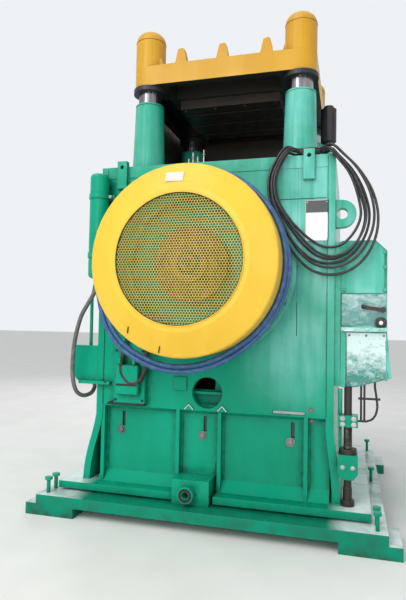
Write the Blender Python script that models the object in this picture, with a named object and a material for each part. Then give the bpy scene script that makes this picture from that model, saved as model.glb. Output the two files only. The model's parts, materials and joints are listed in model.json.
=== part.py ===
"""Four-post underdrive press: a yellow crown on four guide posts, pulled down by a crank in the green bed frame.

Metres, +Z up, the flywheel guard faces -Y. The origin is on the floor, in the middle of the press's outline.
Heights are counted from the floor, and widths and depths from the middle of the four guide posts.
"""
import math

import bmesh
import bpy
import numpy
from mathutils import Matrix, Vector

# Clearances shared by all pieces
SEAT_GAP = 0.0003
RUN_GAP = 0.0003
OVERRUN = 0.01
MERGE_DISTANCE = 0.00002

# Facets of round pieces
FINE_SIDES = 48
ROUND_SIDES = 32
SMALL_SIDES = 16
SHARP_ANGLE = math.radians(35)

# Base plate, its corner feet and levelling bolts
BASE_WIDTH = 1.91
BASE_DEPTH = 1.80
BASE_THICK = 0.060
FOOT_HEIGHT = 0.055
FOOT_LENGTH = 0.300
FOOT_REACH = 0.065
FOOT_DEPTH = 0.260
BOLT_INSET = 0.050
BOLT_SHANK = 0.011
BOLT_HEAD = 0.022
BOLT_HEAD_HEIGHT = 0.016
BOLT_RISE = 0.090
BOLT_STEP = 0.080

# Bed frame: flange, skirt, walls and deck
FLANGE_WIDTH = 1.76
FLANGE_DEPTH = 1.56
FLANGE_THICK = 0.040
FLANGE_INSET = 0.040
FLANGE_GAP = 0.013
FRAME_WIDTH = 1.38
FRAME_DEPTH = 1.40
WALL = 0.040
SIDE_WALL = 0.042
PANEL_SET_BACK = 0.003
DECK_TOP = 2.040
DECK_THICK = 0.070
SKIRT_TOP = 0.612
SKIRT_RECESS = 0.045
SKIRT_TOE_HEIGHT = 0.060
FLARE_TOP = 0.560
FLARE_LEFT = 0.075
FLARE_RIGHT = 0.035
FLARE_STEPS = 7
FLARE_SHAPE = 1.4
RIB_THICK = 0.022
RIB_SHARES = (-0.935, -0.258, 0.098, 0.790)

# Openings and small welded features of the front wall
PORT_X = -0.007
PORT_Z = 0.715
PORT_RADIUS = 0.088
SHELF_THICK = 0.015
SHELF_DEPTH = 0.110
SLOT_X = (-0.530, -0.026, 0.472)
SLOT_WIDTH = 0.020
SLOT_HEIGHT = 0.085
SLOT_BOTTOM = 0.490
SIGHT_SLOT_LENGTH = 0.175
SIGHT_SLOT_HEIGHT = 0.018
SIGHT_SLOT_X = 0.452
SIGHT_SLOT_Z = 0.632
SMALL_PAD = 0.075
SMALL_PAD_X = -0.165
SMALL_PAD_Z = 0.761
SMALL_PAD_THICK = 0.008
HOOK_PLATE_X = 0.550
HOOK_PLATE_WIDTH = 0.060
HOOK_PLATE_THICK = 0.025
HOOK_PLATE_DROP = 0.138
HOOK_PLATE_RISE = 0.028
HOOK_HOLE_RADIUS = 0.012
HOOK_HOLE_DROP = 0.036
SIDE_LUG_REACH = 0.110
SIDE_LUG_HEIGHT = 0.150
SIDE_LUG_DROP = 0.325
SIDE_LUG_THICK = 0.050
SIDE_LUG_SET_BACK = 0.025
SIDE_LUG_HOLE = 0.030
DRAIN_BOSS_WIDTH = 0.220
DRAIN_BOSS_X = -0.062
DRAIN_BOSS_HIGH = 0.250
DRAIN_BOSS_REACH = 0.020
DRAIN_PIPE_X = -0.080
DRAIN_PIPE_Z = 0.180
DRAIN_PIPE_RADIUS = 0.045
DRAIN_PIPE_BORE = 0.027
DRAIN_PIPE_LENGTH = 0.050
DRAIN_SPIGOT = 0.015
DRAIN_NOTCH_X = 0.040
DRAIN_NOTCH_WIDTH = 0.016
DRAIN_NOTCH_HIGH = 0.330

# Guide posts, sleeves and bushes
POST_X = 0.478
POST_Y = 0.480
POST_RADIUS = 0.073
SLEEVE_RISE = 0.436
SLEEVE_DROP = 0.260
SLEEVE_TOP_RADIUS = 0.090
SLEEVE_FOOT_RADIUS = 0.102
SLEEVE_LIP = 0.006
SLEEVE_BORE = 0.082
SLEEVE_FLANGE_RADIUS = 0.125
SLEEVE_FLANGE_THICK = 0.022
SLEEVE_BOSS_WALL = 0.030
BUSH_LENGTH = 0.260
BUSH_DROP = 0.004
COLLAR_RADIUS = 0.105
COLLAR_THICK = 0.028
POST_NUT_THICK = 0.078

# Crown, its lugs, caps and the tool plate under it
DIE_SPACE_HIGH = 0.550
CROWN_THICK = 0.123
CROWN_WALL = 0.045
CROWN_SKIN = 0.042
CROWN_PAD_RIM = 0.035
BOSS_RADIUS = 0.095
BOSS_RISE = 0.177
BOSS_FLARE = 0.030
BOSS_FLARE_HEIGHT = 0.060
BOSS_GUSSET_WIDTH = 0.110
CAP_HEIGHT = 0.080
LUG_X = (-0.247, 0.015, 0.283)
LUG_WIDTH = 0.078
LUG_HEIGHT = 0.088
LUG_THICK = 0.045
LUG_OUTLINE_SHARES = (
    (-0.50, 0.0), (0.50, 0.0), (0.42, 0.42), (0.30, 0.90), (0.16, 1.0), (-0.22, 0.94), (-0.34, 0.45),
)
RAM_PLATE_WIDTH = 0.660
RAM_PLATE_DEPTH = 0.600
RAM_PLATE_THICK = 0.058
BOLSTER_WIDTH = 0.680
BOLSTER_DEPTH = 0.660
BOLSTER_THICK = 0.075
TEE_PITCH = 0.190
TEE_NECK = 0.022
TEE_HEAD = 0.036
TEE_NECK_DEPTH = 0.018
TEE_DEPTH = 0.034
SLUG_WIDTH = 0.300
SLUG_DEPTH = 0.110

# Crank drive
STROKE = 0.075
CRANK_DROP = 0.635
JOURNAL_RADIUS = 0.075
PIN_RADIUS = 0.070
PIN_HALF_LENGTH = 0.115
WEB_THICK = 0.070
WEB_RADIUS = 0.140
WEB_RISE = 0.012
NOSE_RADIUS = 0.060
CRANK_REAR = 0.340
UNION_RADIUS = 0.020
UNION_LENGTH = 0.050
HANGER_Y = 0.250
HANGER_THICK = 0.080
HANGER_WIDTH = 0.400
HANGER_EYE = 0.145
MAIN_BUSH_WALL = 0.016
BLOCK_WIDTH = 0.210
BLOCK_HEIGHT = 0.190
BLOCK_DEPTH = 0.190
SLOT_SIDE_GAP = 0.004
SLOT_LIFT_GAP = 0.0085
YOKE_RAIL = 0.075
YOKE_CHEEK = 0.085
YOKE_DEPTH = 0.190
BEAM_WIDTH = 0.220
BEAM_LENGTH = 1.160
BEAM_HEIGHT = 0.180

# Counterbalance under the yoke
BALANCE_RADIUS = 0.085
BALANCE_BORE = 0.068
BALANCE_TOP_DROP = 0.505
BALANCE_FLANGE = 0.130
BALANCE_FLANGE_THICK = 0.025
BALANCE_ROD = 0.026
BALANCE_PISTON_THICK = 0.050
BALANCE_PISTON_DROP = 0.705
BALANCE_PORT = 0.010

# Flywheel, quill, clutch and guard
GUARD_FRONT = 1.300
GUARD_RADIUS = 0.4635
GUARD_SHEET = 0.006
GUARD_DISH = 0.045
GUARD_CORNER = 0.016
GUARD_WINDOW = 0.312
GUARD_LAND = 0.028
MESH_THICK = 0.003
MESH_RADIUS = 0.338
MESH_PITCH = 0.078
MESH_HOLE = 0.027
QUILL_FLANGE = 0.190
QUILL_FLANGE_THICK = 0.030
QUILL_RADIUS = 0.106
QUILL_BORE = 0.066
QUILL_SPIGOT = 0.109
QUILL_SPIGOT_LENGTH = 0.030
QUILL_FRONT = 1.050
FLYWHEEL_RADIUS = 0.425
FLYWHEEL_RIM = 0.085
FLYWHEEL_FRONT = 1.100
FLYWHEEL_WIDTH = 0.230
FLYWHEEL_WEB = 0.050
FLYWHEEL_WEB_FRONT = 1.010
HUB_RADIUS = 0.165
HUB_FRONT = 1.060
HUB_WIDTH = 0.260
HUB_BUSH_WALL = 0.014
CLUTCH_RADIUS = 0.190
CLUTCH_THICK = 0.036
CLUTCH_BOSS_RADIUS = 0.095
CLUTCH_BOSS_LENGTH = 0.030

# Covers at the rear
REAR_OPENING_WIDTH = 0.520
REAR_OPENING_HEIGHT = 0.640
REAR_OPENING_DROP = 0.105
REAR_COVER_LAP = 0.035
REAR_COVER_THICK = 0.012
REAR_GUARD_WIDTH = 1.120
REAR_GUARD_RISE = 0.620
REAR_GUARD_SHEET = 0.005
REAR_GUARD_FOOT = 0.045
REAR_GUARD_Y = 0.612

# Valve gear on the left
MANIFOLD_LEFT = -0.559
MANIFOLD_RIGHT = -0.368
MANIFOLD_LOW = 0.637
MANIFOLD_HIGH = 1.040
MANIFOLD_THICK = 0.045
PORT_BLOCK = 0.044
PORT_BLOCK_REACH = 0.062
PORT_BLOCK_LOW = 0.970
HOSE_PORT_X = (-0.492, -0.348)
VALVE_BOX_LEFT = -0.845
VALVE_BOX_LOW = 0.745
VALVE_BOX_HIGH = 0.962
VALVE_BOX_DEPTH = 0.280
VALVE_BOX_ROUND = 0.050
VALVE_SHELF_RIGHT = -0.595
VALVE_SHELF_REACH = 0.035
VALVE_SHELF_THICK = 0.018
TANK_X = -0.675
TANK_Y = -0.762
TANK_RADIUS = 0.0555
TANK_LOW = 1.360
TANK_HIGH = 1.985
TANK_DOME = 0.022
TANK_STRAP_THICK = 0.010
TANK_STRAP_HEIGHT = 0.030
TANK_STRAP_SHARES = (0.22, 0.78)

# Feed drive box on the right
BOX_LEFT = 0.722
BOX_RIGHT = 0.957
BOX_LOW = 0.785
BOX_HIGH = 1.567
BOX_FRONT = -0.672
BOX_DEPTH = 0.420
BOX_TOP_CHAMFER = 0.058
BOX_KEEL_X = 0.800
BOX_KEEL_RISE = 0.055
BOX_KEEL_REACH = 0.022
BOX_LEDGE_Z = 1.080
BOX_LEDGE_HEIGHT = 0.022
BOX_LEDGE_REACH = 0.045
BOX_HEAD_LOW = 1.284
BOX_HEAD_REACH = 0.016
BOX_SPACER_INSET = 0.080
BOX_STRIP_WIDTH = 0.026
BOX_STRIP_REACH = 0.020
BOX_SHEET = 0.014
COVER_THICK = 0.010
COVER_MARGIN = 0.006
LEVER_X = 0.935
LEVER_Z = 1.196
LEVER_LENGTH = 0.106
LEVER_HEIGHT = 0.020
LEVER_THICK = 0.012
LEVER_RISE = math.radians(8)
LEVER_HUB = 0.015
LEVER_STAND_OFF = 0.018
KNOB_X = 0.925
KNOB_Z = 1.128
KNOB_RADIUS = 0.025
KNOB_LENGTH = 0.028

# Support jack under the feed drive box
JACK_X = 0.762
JACK_Y = -0.680
JACK_ROD = 0.0205
JACK_THREAD = 0.024
JACK_THREAD_TOP = 0.262
JACK_FOOT = 0.036
JACK_FOOT_THICK = 0.030
JACK_BLOCK = 0.102
JACK_BLOCK_LOW = 0.311
JACK_BLOCK_BEVEL = 0.030
JACK_BLOCK_HIGH = 0.438
JACK_COLLAR = 0.046
JACK_COLLAR_THICK = 0.026
JACK_CLAMP_WIDTH = 0.102
JACK_CLAMP_DEPTH = 0.080
JACK_CLAMP_LOW = 0.580
JACK_CLAMP_HIGH = 0.640
JACK_GUIDE = 0.008
JACK_GUIDE_OFFSET = 0.040
JACK_TUBE = 0.012

# Lubricator on the deck
LUBE_X = 0.632
LUBE_Y = -0.250
LUBE_POST = 0.020
LUBE_FOOT = 0.040
LUBE_FOOT_THICK = 0.012
LUBE_RISE = 0.195
LUBE_TALL = 0.245
LUBE_RADIUS = 0.048
LUBE_CAP = 0.030
LUBE_CAP_HEIGHT = 0.020

# Hoses and the cable hung on the press
HOSE_RADIUS = 0.0125
PIPE_RADIUS = 0.0105
LINE_RADIUS = 0.006
LINE_INSET = 0.057
# Degrees from +X toward +Z, and how far the blue hose reaches beyond the drum there
BLUE_COIL_ROUTE = (
    (-180, 0.0615), (-170, 0.0715), (-160, 0.0815), (-143, 0.1120), (-132, 0.1130), (-116, 0.1040), (-103, 0.0985),
    (-89, 0.0833), (-75, 0.0670), (-62, 0.0541), (-49, 0.0440), (-32, 0.0400), (-15, 0.0430), (-4, 0.0415),
    (17, 0.0300), (34, 0.0260), (128, 0.0260), (150, 0.0370), (180, 0.0615),
)
BLUE_COIL_WIDTH = 0.052
BLUE_COIL_Y = -1.100
CABLE_BUNDLE = 0.028
CABLE_SLACK = 0.002
CLUTCH_HOSE_SAG_Z = 0.757

# Derived places
BASE_TOP = FOOT_HEIGHT + BASE_THICK
FLANGE_LOW = BASE_TOP + FLANGE_GAP
FLANGE_TOP = FLANGE_LOW + FLANGE_THICK
FRONT_Y = -FRAME_DEPTH / 2
REAR_Y = FRAME_DEPTH / 2
PANEL_Y = FRONT_Y + PANEL_SET_BACK
SIDE_X = FRAME_WIDTH / 2
INNER_X = SIDE_X - SIDE_WALL
DECK_LOW = DECK_TOP - DECK_THICK
HOOK_PLATE_LOW = DECK_TOP - HOOK_PLATE_DROP
HOOK_PLATE_HIGH = DECK_TOP + HOOK_PLATE_RISE
SLEEVE_TOP = DECK_TOP + SLEEVE_RISE
SLEEVE_BOTTOM = DECK_TOP - SLEEVE_DROP
REAR_GUARD_TOP = DECK_TOP + REAR_GUARD_RISE
CROWN_BOTTOM = DECK_TOP + DIE_SPACE_HIGH
CROWN_TOP = CROWN_BOTTOM + CROWN_THICK
BOSS_TOP = CROWN_TOP + BOSS_RISE
SIDE_LUG_Z = DECK_TOP - SIDE_LUG_DROP
LUBE_LOW = DECK_TOP + LUBE_RISE
LUBE_HIGH = LUBE_LOW + LUBE_TALL
CRANK_Z = DECK_TOP - CRANK_DROP
BALANCE_TOP = CRANK_Z - BALANCE_TOP_DROP
BALANCE_PISTON_LOW = CRANK_Z - BALANCE_PISTON_DROP
REAR_OPENING_Z = CRANK_Z - REAR_OPENING_DROP
THROW = STROKE / 2
PIN_Z = CRANK_Z + THROW
BEAM_LOW = PIN_Z - BEAM_HEIGHT / 2
YOKE_HALF_HEIGHT = BLOCK_HEIGHT / 2 + SLOT_LIFT_GAP + YOKE_RAIL
PRESS_Y = (GUARD_FRONT - BASE_DEPTH / 2) / 2
POST_PLACES = {
    "front_left": (-POST_X, -POST_Y),
    "front_right": (POST_X, -POST_Y),
    "rear_left": (-POST_X, POST_Y),
    "rear_right": (POST_X, POST_Y),
}


def clear_scene():
    for old in list(bpy.data.objects):
        bpy.data.objects.remove(old, do_unlink=True)


def paint(name, color, roughness, metallic=0.0):
    """A Principled material of one colour, made once and then shared."""
    found = bpy.data.materials.get(name)
    if found:
        return found
    made = bpy.data.materials.new(name)
    made.use_nodes = True
    shader = made.node_tree.nodes["Principled BSDF"]
    shader.inputs["Base Color"].default_value = (*color, 1.0)
    shader.inputs["Roughness"].default_value = roughness
    shader.inputs["Metallic"].default_value = metallic
    return made


def green_enamel():
    return paint("green_enamel", (0.02, 0.40, 0.27), 0.25)


def yellow_enamel():
    return paint("yellow_enamel", (0.85, 0.55, 0.04), 0.35)


def machined_steel():
    return paint("machined_steel", (0.55, 0.55, 0.54), 0.30, 1.0)


def dark_steel():
    return paint("dark_steel", (0.06, 0.055, 0.05), 0.55, 0.8)


def bronze():
    return paint("bronze", (0.60, 0.38, 0.16), 0.35, 1.0)


def rusty_iron():
    return paint("rusty_iron", (0.30, 0.13, 0.05), 0.85, 0.2)


def blue_enamel():
    return paint("blue_enamel", (0.05, 0.07, 0.13), 0.45)


def hose_cover(name, color):
    return paint(name, color, 0.55)


def made_object(name, bm):
    """Closes a bmesh into a scene object with its faces pointing out."""
    bmesh.ops.recalc_face_normals(bm, faces=bm.faces)
    mesh = bpy.data.meshes.new(name)
    bm.to_mesh(mesh)
    bm.free()
    form = bpy.data.objects.new(name, mesh)
    bpy.context.collection.objects.link(form)
    return form


def prism(outline, axis, low, high):
    """A flat outline pushed along an axis. The outline's points lie on the other two axes, in X, Y, Z order."""
    bm = bmesh.new()
    spin = {"X": lambda u, v, w: (w, u, v), "Y": lambda u, v, w: (u, w, v), "Z": lambda u, v, w: (u, v, w)}[axis]
    floor = bm.faces.new([bm.verts.new(spin(u, v, low)) for u, v in outline])
    pushed = bmesh.ops.extrude_face_region(bm, geom=[floor])
    moved = [part for part in pushed["geom"] if isinstance(part, bmesh.types.BMVert)]
    bmesh.ops.translate(bm, verts=moved, vec=Vector(spin(0, 0, high - low)))
    return made_object("prism", bm)


def block(low, high):
    """A box between two corners."""
    outline = [(low[0], low[1]), (high[0], low[1]), (high[0], high[1]), (low[0], high[1])]
    return prism(outline, "Z", low[2], high[2])


def turned(profile, axis, at, sides=ROUND_SIDES):
    """A turned solid. The profile is (radius, height) points; a loop that stays off the axis makes a ring."""
    bm = bmesh.new()
    turn = {"X": lambda a, b, h: (h, a, b), "Y": lambda a, b, h: (a, h, b), "Z": lambda a, b, h: (a, b, h)}[axis]
    middle = Vector(at)
    rings = []
    for radius, height in profile:
        if radius == 0:
            rings.append([bm.verts.new(middle + Vector(turn(0, 0, height)))])
            continue
        angles = [2 * math.pi * (side + 0.5) / sides for side in range(sides)]
        places = [turn(radius * math.cos(angle), radius * math.sin(angle), height) for angle in angles]
        rings.append([bm.verts.new(middle + Vector(place)) for place in places])
    pairs = list(zip(rings, rings[1:]))
    if len(rings[0]) > 1:
        pairs.append((rings[-1], rings[0]))
    for first, second in pairs:
        for side in range(sides):
            after = (side + 1) % sides
            corners = [first[side % len(first)], first[after % len(first)]]
            corners += [second[after % len(second)], second[side % len(second)]]
            bm.faces.new(list(dict.fromkeys(corners)))
    return made_object("turned", bm)


def rod(radius, axis, at, low, high, sides=ROUND_SIDES):
    """A plain round bar between two places along its axis."""
    return turned([(0, low), (radius, low), (radius, high), (0, high)], axis, at, sides)


def ring(bore, radius, axis, at, low, high, sides=ROUND_SIDES):
    """A plain round tube between two places along its axis."""
    return turned([(bore, low), (radius, low), (radius, high), (bore, high)], axis, at, sides)


def arc(center, radius, start, end, steps):
    """Points of a round stretch, from one angle in degrees to another."""
    angles = [math.radians(start + (end - start) * step / steps) for step in range(steps + 1)]
    return [(center[0] + radius * math.cos(angle), center[1] + radius * math.sin(angle)) for angle in angles]


def running_bore(shaft_radius, sides=ROUND_SIDES):
    """The corner radius of a faceted bore whose flats stay clear of the shaft in it at every angle."""
    return (shaft_radius + RUN_GAP) / math.cos(math.pi / sides)


def combined(form, others, operation):
    """Joins the other forms to a form, or cuts them out of it, with exact Booleans."""
    for other in others:
        step = form.modifiers.new(operation, "BOOLEAN")
        step.operation = operation
        step.solver = "EXACT"
        step.object = other
    bpy.context.view_layer.update()
    evaluated = form.evaluated_get(bpy.context.evaluated_depsgraph_get())
    result = bpy.data.meshes.new_from_object(evaluated)
    bm = bmesh.new()
    bm.from_mesh(result)
    bmesh.ops.remove_doubles(bm, verts=bm.verts, dist=MERGE_DISTANCE)
    bm.to_mesh(result)
    bm.free()
    form.modifiers.clear()
    form.data = result
    for other in others:
        bpy.data.objects.remove(other, do_unlink=True)
    return form


def joined(form, *others):
    return combined(form, others, "UNION")


def cut(form, *others):
    return combined(form, others, "DIFFERENCE")


def piece(name, form, look, pivot=(0, 0, 0)):
    """Names a form, gives it its material and parent, and puts its origin on its pivot."""
    mesh = form.data
    mesh.materials.clear()
    mesh.materials.append(look)
    mesh.transform(form.matrix_world)
    mesh.transform(Matrix.Translation(-Vector(pivot)))
    mesh.shade_smooth()
    mesh.set_sharp_from_angle(angle=SHARP_ANGLE)
    form.name = name
    mesh.name = name
    form.parent = bpy.data.objects["press_middle"]
    form.location = pivot
    return form


def tube(name, route, radius, look, closed=False, thickness_steps=2):
    """A hose along a smooth curve through its route's points."""
    curve = bpy.data.curves.new(name, "CURVE")
    curve.dimensions = "3D"
    curve.bevel_depth = radius
    curve.bevel_resolution = thickness_steps
    curve.use_fill_caps = not closed
    points = smooth_route([Vector(place) for place in route], radius * 3.5, closed)
    spline = curve.splines.new("POLY")
    spline.points.add(len(points) - 1)
    for point, place in zip(spline.points, points):
        point.co = (*place, 1.0)
    spline.use_cyclic_u = closed
    curve.materials.append(look)
    hose = bpy.data.objects.new(name, curve)
    bpy.context.collection.objects.link(hose)
    hose.parent = bpy.data.objects["press_middle"]
    return hose


def smooth_route(places, step, closed):
    """Points about one step apart on a Catmull-Rom curve through the given places."""
    count = len(places)
    spans = count if closed else count - 1
    points = []
    for span in range(spans):
        if closed:
            before, start, end, after = (places[(span + shift) % count] for shift in (-1, 0, 1, 2))
        else:
            start, end = places[span], places[span + 1]
            before = places[span - 1] if span else start * 2 - end
            after = places[span + 2] if span + 2 < count else end * 2 - start
        pieces = max(1, round((end - start).length / step))
        for piece_number in range(pieces):
            t = piece_number / pieces
            points.append(
                0.5 * (2 * start + (end - before) * t + (2 * before - 5 * start + 4 * end - after) * t ** 2
                       + (3 * start - before - 3 * end + after) * t ** 3))
    if not closed:
        points.append(places[-1])
    return points


def base_plate():
    """The thick base plate with four corner feet under it and levelling bolts standing on it."""
    half_x = BASE_WIDTH / 2
    half_y = BASE_DEPTH / 2
    plate = block((-half_x, -half_y, FOOT_HEIGHT), (half_x, half_y, BASE_TOP))
    extras = []
    for side_x in (-1, 1):
        outer = side_x * (half_x + FOOT_REACH)
        inner = outer - side_x * FOOT_LENGTH
        for side_y in (-1, 1):
            edge = side_y * half_y
            back = edge - side_y * FOOT_DEPTH
            low = (min(outer, inner), min(edge, back), 0)
            high = (max(outer, inner), max(edge, back), FOOT_HEIGHT + OVERRUN)
            extras.append(block(low, high))
        for row in (-1, 0, 1):
            place = (side_x * (half_x - BOLT_INSET), row * (half_y - BOLT_INSET), 0)
            extras.append(levelling_bolt(place))
        extras.append(levelling_bolt((side_x * (half_x - BOLT_INSET), BOLT_STEP - half_y + BOLT_INSET, 0)))
    piece("base_plate", joined(plate, *extras), green_enamel())


def levelling_bolt(place):
    top = BASE_TOP + BOLT_RISE
    neck = top - BOLT_HEAD_HEIGHT
    profile = [(0, BASE_TOP - OVERRUN), (BOLT_SHANK, BASE_TOP - OVERRUN), (BOLT_SHANK, neck)]
    profile += [(BOLT_HEAD, neck), (BOLT_HEAD, top), (0, top)]
    return turned(profile, "Z", place, 6)


def side_profile(flare_reach, spread=0):
    """A side wall seen from the front: straight down, then flaring out to the flange at an even thickness."""
    flare = []
    for step in range(FLARE_STEPS + 1):
        share = step / FLARE_STEPS
        reach = flare_reach * math.sin(share * math.pi / 2) ** FLARE_SHAPE
        flare.append((SIDE_X + spread + reach, FLARE_TOP + (FLANGE_TOP - FLARE_TOP) * share))
    low = FLANGE_TOP - FLANGE_THICK / 2
    inner = [(x - SIDE_WALL - spread, z) for x, z in reversed(flare)]
    return [
        (INNER_X, DECK_TOP), (SIDE_X + spread, DECK_TOP), *flare, (flare[-1][0], low), (inner[0][0], low), *inner,
    ]


def end_profile():
    """The section of the front wall: a flat upper plate, and below it the set-back skirt with a sloping toe."""
    skirt = PANEL_Y + SKIRT_RECESS
    toe = FLANGE_TOP + SKIRT_TOE_HEIGHT
    low = FLANGE_TOP - FLANGE_THICK / 2
    return [
        (PANEL_Y, DECK_TOP - OVERRUN), (PANEL_Y, SKIRT_TOP), (skirt, SKIRT_TOP - WALL / 2), (skirt, toe),
        (PANEL_Y, FLANGE_TOP), (PANEL_Y, low), (skirt + WALL, low), (skirt + WALL, SKIRT_TOP),
        (PANEL_Y + WALL, SKIRT_TOP + WALL), (PANEL_Y + WALL, DECK_TOP - OVERRUN),
    ]


def mirrored(outline):
    """An outline turned over on its first axis."""
    return [(-u, v) for u, v in outline]


def frame_walls():
    """The flange, four walls, ribs and deck before anything is cut."""
    half_x = FLANGE_WIDTH / 2
    half_y = FLANGE_DEPTH / 2
    flange = block((-half_x, -half_y, FLANGE_LOW), (half_x, half_y, FLANGE_TOP))
    inset_x = half_x - FLANGE_INSET
    inset_y = half_y - FLANGE_INSET
    sole = block((-inset_x, -inset_y, BASE_TOP + SEAT_GAP), (inset_x, inset_y, FLANGE_LOW + OVERRUN))
    deck = block((-SIDE_X, FRONT_Y, DECK_LOW), (SIDE_X, REAR_Y, DECK_TOP))
    end = end_profile()
    reach = SIDE_X - SIDE_WALL / 2
    walls = [
        prism(side_profile(FLARE_RIGHT), "Y", FRONT_Y, REAR_Y),
        prism(mirrored(side_profile(FLARE_LEFT)), "Y", FRONT_Y, REAR_Y),
        prism(end, "X", -reach, reach),
        prism(mirrored(end), "X", -reach, reach),
    ]
    ribs = []
    for share in RIB_SHARES:
        low_x = share * SIDE_X - RIB_THICK / 2
        for face in (-1, 1):
            edges = sorted((face * -PANEL_Y, face * (-PANEL_Y - SKIRT_RECESS - WALL / 2)))
            ribs.append(block((low_x, edges[0], FLANGE_TOP - OVERRUN), (low_x + RIB_THICK, edges[1], SKIRT_TOP)))
    return joined(flange, sole, deck, *walls, *ribs)


def frame_fittings():
    """Welded plates on the walls, and the sleeve bosses under the deck."""
    boss_radius = SLEEVE_FOOT_RADIUS + SLEEVE_BOSS_WALL
    fittings = [
        rod(boss_radius, "Z", (x, y, 0), SLEEVE_BOTTOM + OVERRUN, DECK_LOW + OVERRUN)
        for x, y in POST_PLACES.values()
    ]
    half_hook = HOOK_PLATE_WIDTH / 2
    for side in (-1, 1):
        center = side * HOOK_PLATE_X
        low = (center - half_hook, FRONT_Y - HOOK_PLATE_THICK, HOOK_PLATE_LOW)
        fittings.append(block(low, (center + half_hook, FRONT_Y + OVERRUN, HOOK_PLATE_HIGH)))
    half_lug = SIDE_LUG_HEIGHT / 2
    eye_x = SIDE_X + SIDE_LUG_REACH - half_lug
    outline = [(INNER_X, SIDE_LUG_Z - half_lug), *arc((eye_x, SIDE_LUG_Z), half_lug, -90, 90, 10)]
    outline.append((INNER_X, SIDE_LUG_Z + half_lug))
    lug_y = FRONT_Y + SIDE_LUG_SET_BACK
    fittings.append(prism(outline, "Y", lug_y, lug_y + SIDE_LUG_THICK))
    pad = SMALL_PAD / 2
    low = (SMALL_PAD_X - pad, PANEL_Y - SMALL_PAD_THICK, SMALL_PAD_Z - pad)
    fittings.append(block(low, (SMALL_PAD_X + pad, PANEL_Y + OVERRUN, SMALL_PAD_Z + pad)))
    half_boss = DRAIN_BOSS_WIDTH / 2
    boss_y = -FLANGE_DEPTH / 2 - DRAIN_BOSS_REACH
    low = (DRAIN_BOSS_X - half_boss, boss_y, BASE_TOP + SEAT_GAP)
    fittings.append(block(low, (DRAIN_BOSS_X + half_boss, PANEL_Y + SKIRT_RECESS + OVERRUN, DRAIN_BOSS_HIGH)))
    shelf_y = PANEL_Y + WALL - OVERRUN
    low = (-INNER_X - OVERRUN, shelf_y, PORT_Z - SHELF_THICK)
    fittings.append(block(low, (INNER_X + OVERRUN, shelf_y + SHELF_DEPTH, PORT_Z)))
    return fittings


def frame_cutters():
    """Everything bored, slotted or opened in the bed frame."""
    skirt_in = PANEL_Y + SKIRT_RECESS + WALL
    floor_x = INNER_X
    cutters = [block((-floor_x, skirt_in, BASE_TOP - OVERRUN), (floor_x, -skirt_in, FLANGE_TOP + OVERRUN))]
    cutters += [
        rod(SLEEVE_FOOT_RADIUS + SEAT_GAP, "Z", (x, y, 0), SLEEVE_BOTTOM - OVERRUN, DECK_TOP + OVERRUN)
        for x, y in POST_PLACES.values()
    ]
    half_slug = (SLUG_WIDTH / 2, SLUG_DEPTH / 2)
    low = (-half_slug[0], -half_slug[1], DECK_LOW - OVERRUN)
    cutters.append(block(low, (half_slug[0], half_slug[1], DECK_TOP + OVERRUN)))
    wall_low = FRONT_Y - OVERRUN
    wall_high = PANEL_Y + WALL + OVERRUN
    cutters.append(rod(QUILL_SPIGOT + SEAT_GAP, "Y", (0, 0, CRANK_Z), wall_low, wall_high))
    cutters.append(rod(PORT_RADIUS, "Y", (PORT_X, 0, PORT_Z), wall_low, wall_high))
    half_height = REAR_OPENING_HEIGHT / 2
    low = (-REAR_OPENING_WIDTH / 2, REAR_Y - WALL - OVERRUN, REAR_OPENING_Z - half_height)
    cutters.append(block(low, (REAR_OPENING_WIDTH / 2, REAR_Y + OVERRUN, REAR_OPENING_Z + half_height)))
    for x in SLOT_X:
        low = (x - SLOT_WIDTH / 2, PANEL_Y, SLOT_BOTTOM)
        high = (x + SLOT_WIDTH / 2, skirt_in + OVERRUN, SLOT_BOTTOM + SLOT_HEIGHT)
        cutters.append(block(low, high))
    low = (SIGHT_SLOT_X - SIGHT_SLOT_LENGTH / 2, wall_low, SIGHT_SLOT_Z - SIGHT_SLOT_HEIGHT / 2)
    high = (SIGHT_SLOT_X + SIGHT_SLOT_LENGTH / 2, skirt_in + OVERRUN, SIGHT_SLOT_Z + SIGHT_SLOT_HEIGHT / 2)
    cutters.append(block(low, high))
    for side in (-1, 1):
        place = (side * HOOK_PLATE_X, 0, HOOK_PLATE_HIGH - HOOK_HOLE_DROP)
        cutters.append(rod(HOOK_HOLE_RADIUS, "Y", place, FRONT_Y - 2 * HOOK_PLATE_THICK, FRONT_Y + 3 * OVERRUN, 12))
    eye_x = SIDE_X + SIDE_LUG_REACH - SIDE_LUG_HEIGHT / 2
    lug_y = FRONT_Y + SIDE_LUG_SET_BACK
    lug_back = lug_y + SIDE_LUG_THICK + OVERRUN
    cutters.append(rod(SIDE_LUG_HOLE, "Y", (eye_x, 0, SIDE_LUG_Z), lug_y - OVERRUN, lug_back, 20))
    boss_y = -FLANGE_DEPTH / 2 - DRAIN_BOSS_REACH
    low = (DRAIN_NOTCH_X, boss_y - OVERRUN, BASE_TOP)
    notch_y = PANEL_Y + SKIRT_RECESS + OVERRUN / 2
    cutters.append(block(low, (DRAIN_NOTCH_X + DRAIN_NOTCH_WIDTH, notch_y, DRAIN_NOTCH_HIGH)))
    place = (DRAIN_PIPE_X, 0, DRAIN_PIPE_Z)
    cutters.append(rod(DRAIN_PIPE_BORE + SEAT_GAP, "Y", place, boss_y - OVERRUN, skirt_in + OVERRUN, SMALL_SIDES))
    return cutters


def bed_frame():
    """The welded bed frame: flange, ribbed skirt, walls and deck, hollow and open below."""
    frame = joined(frame_walls(), *frame_fittings())
    piece("bed_frame", cut(frame, *frame_cutters()), green_enamel())


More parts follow.
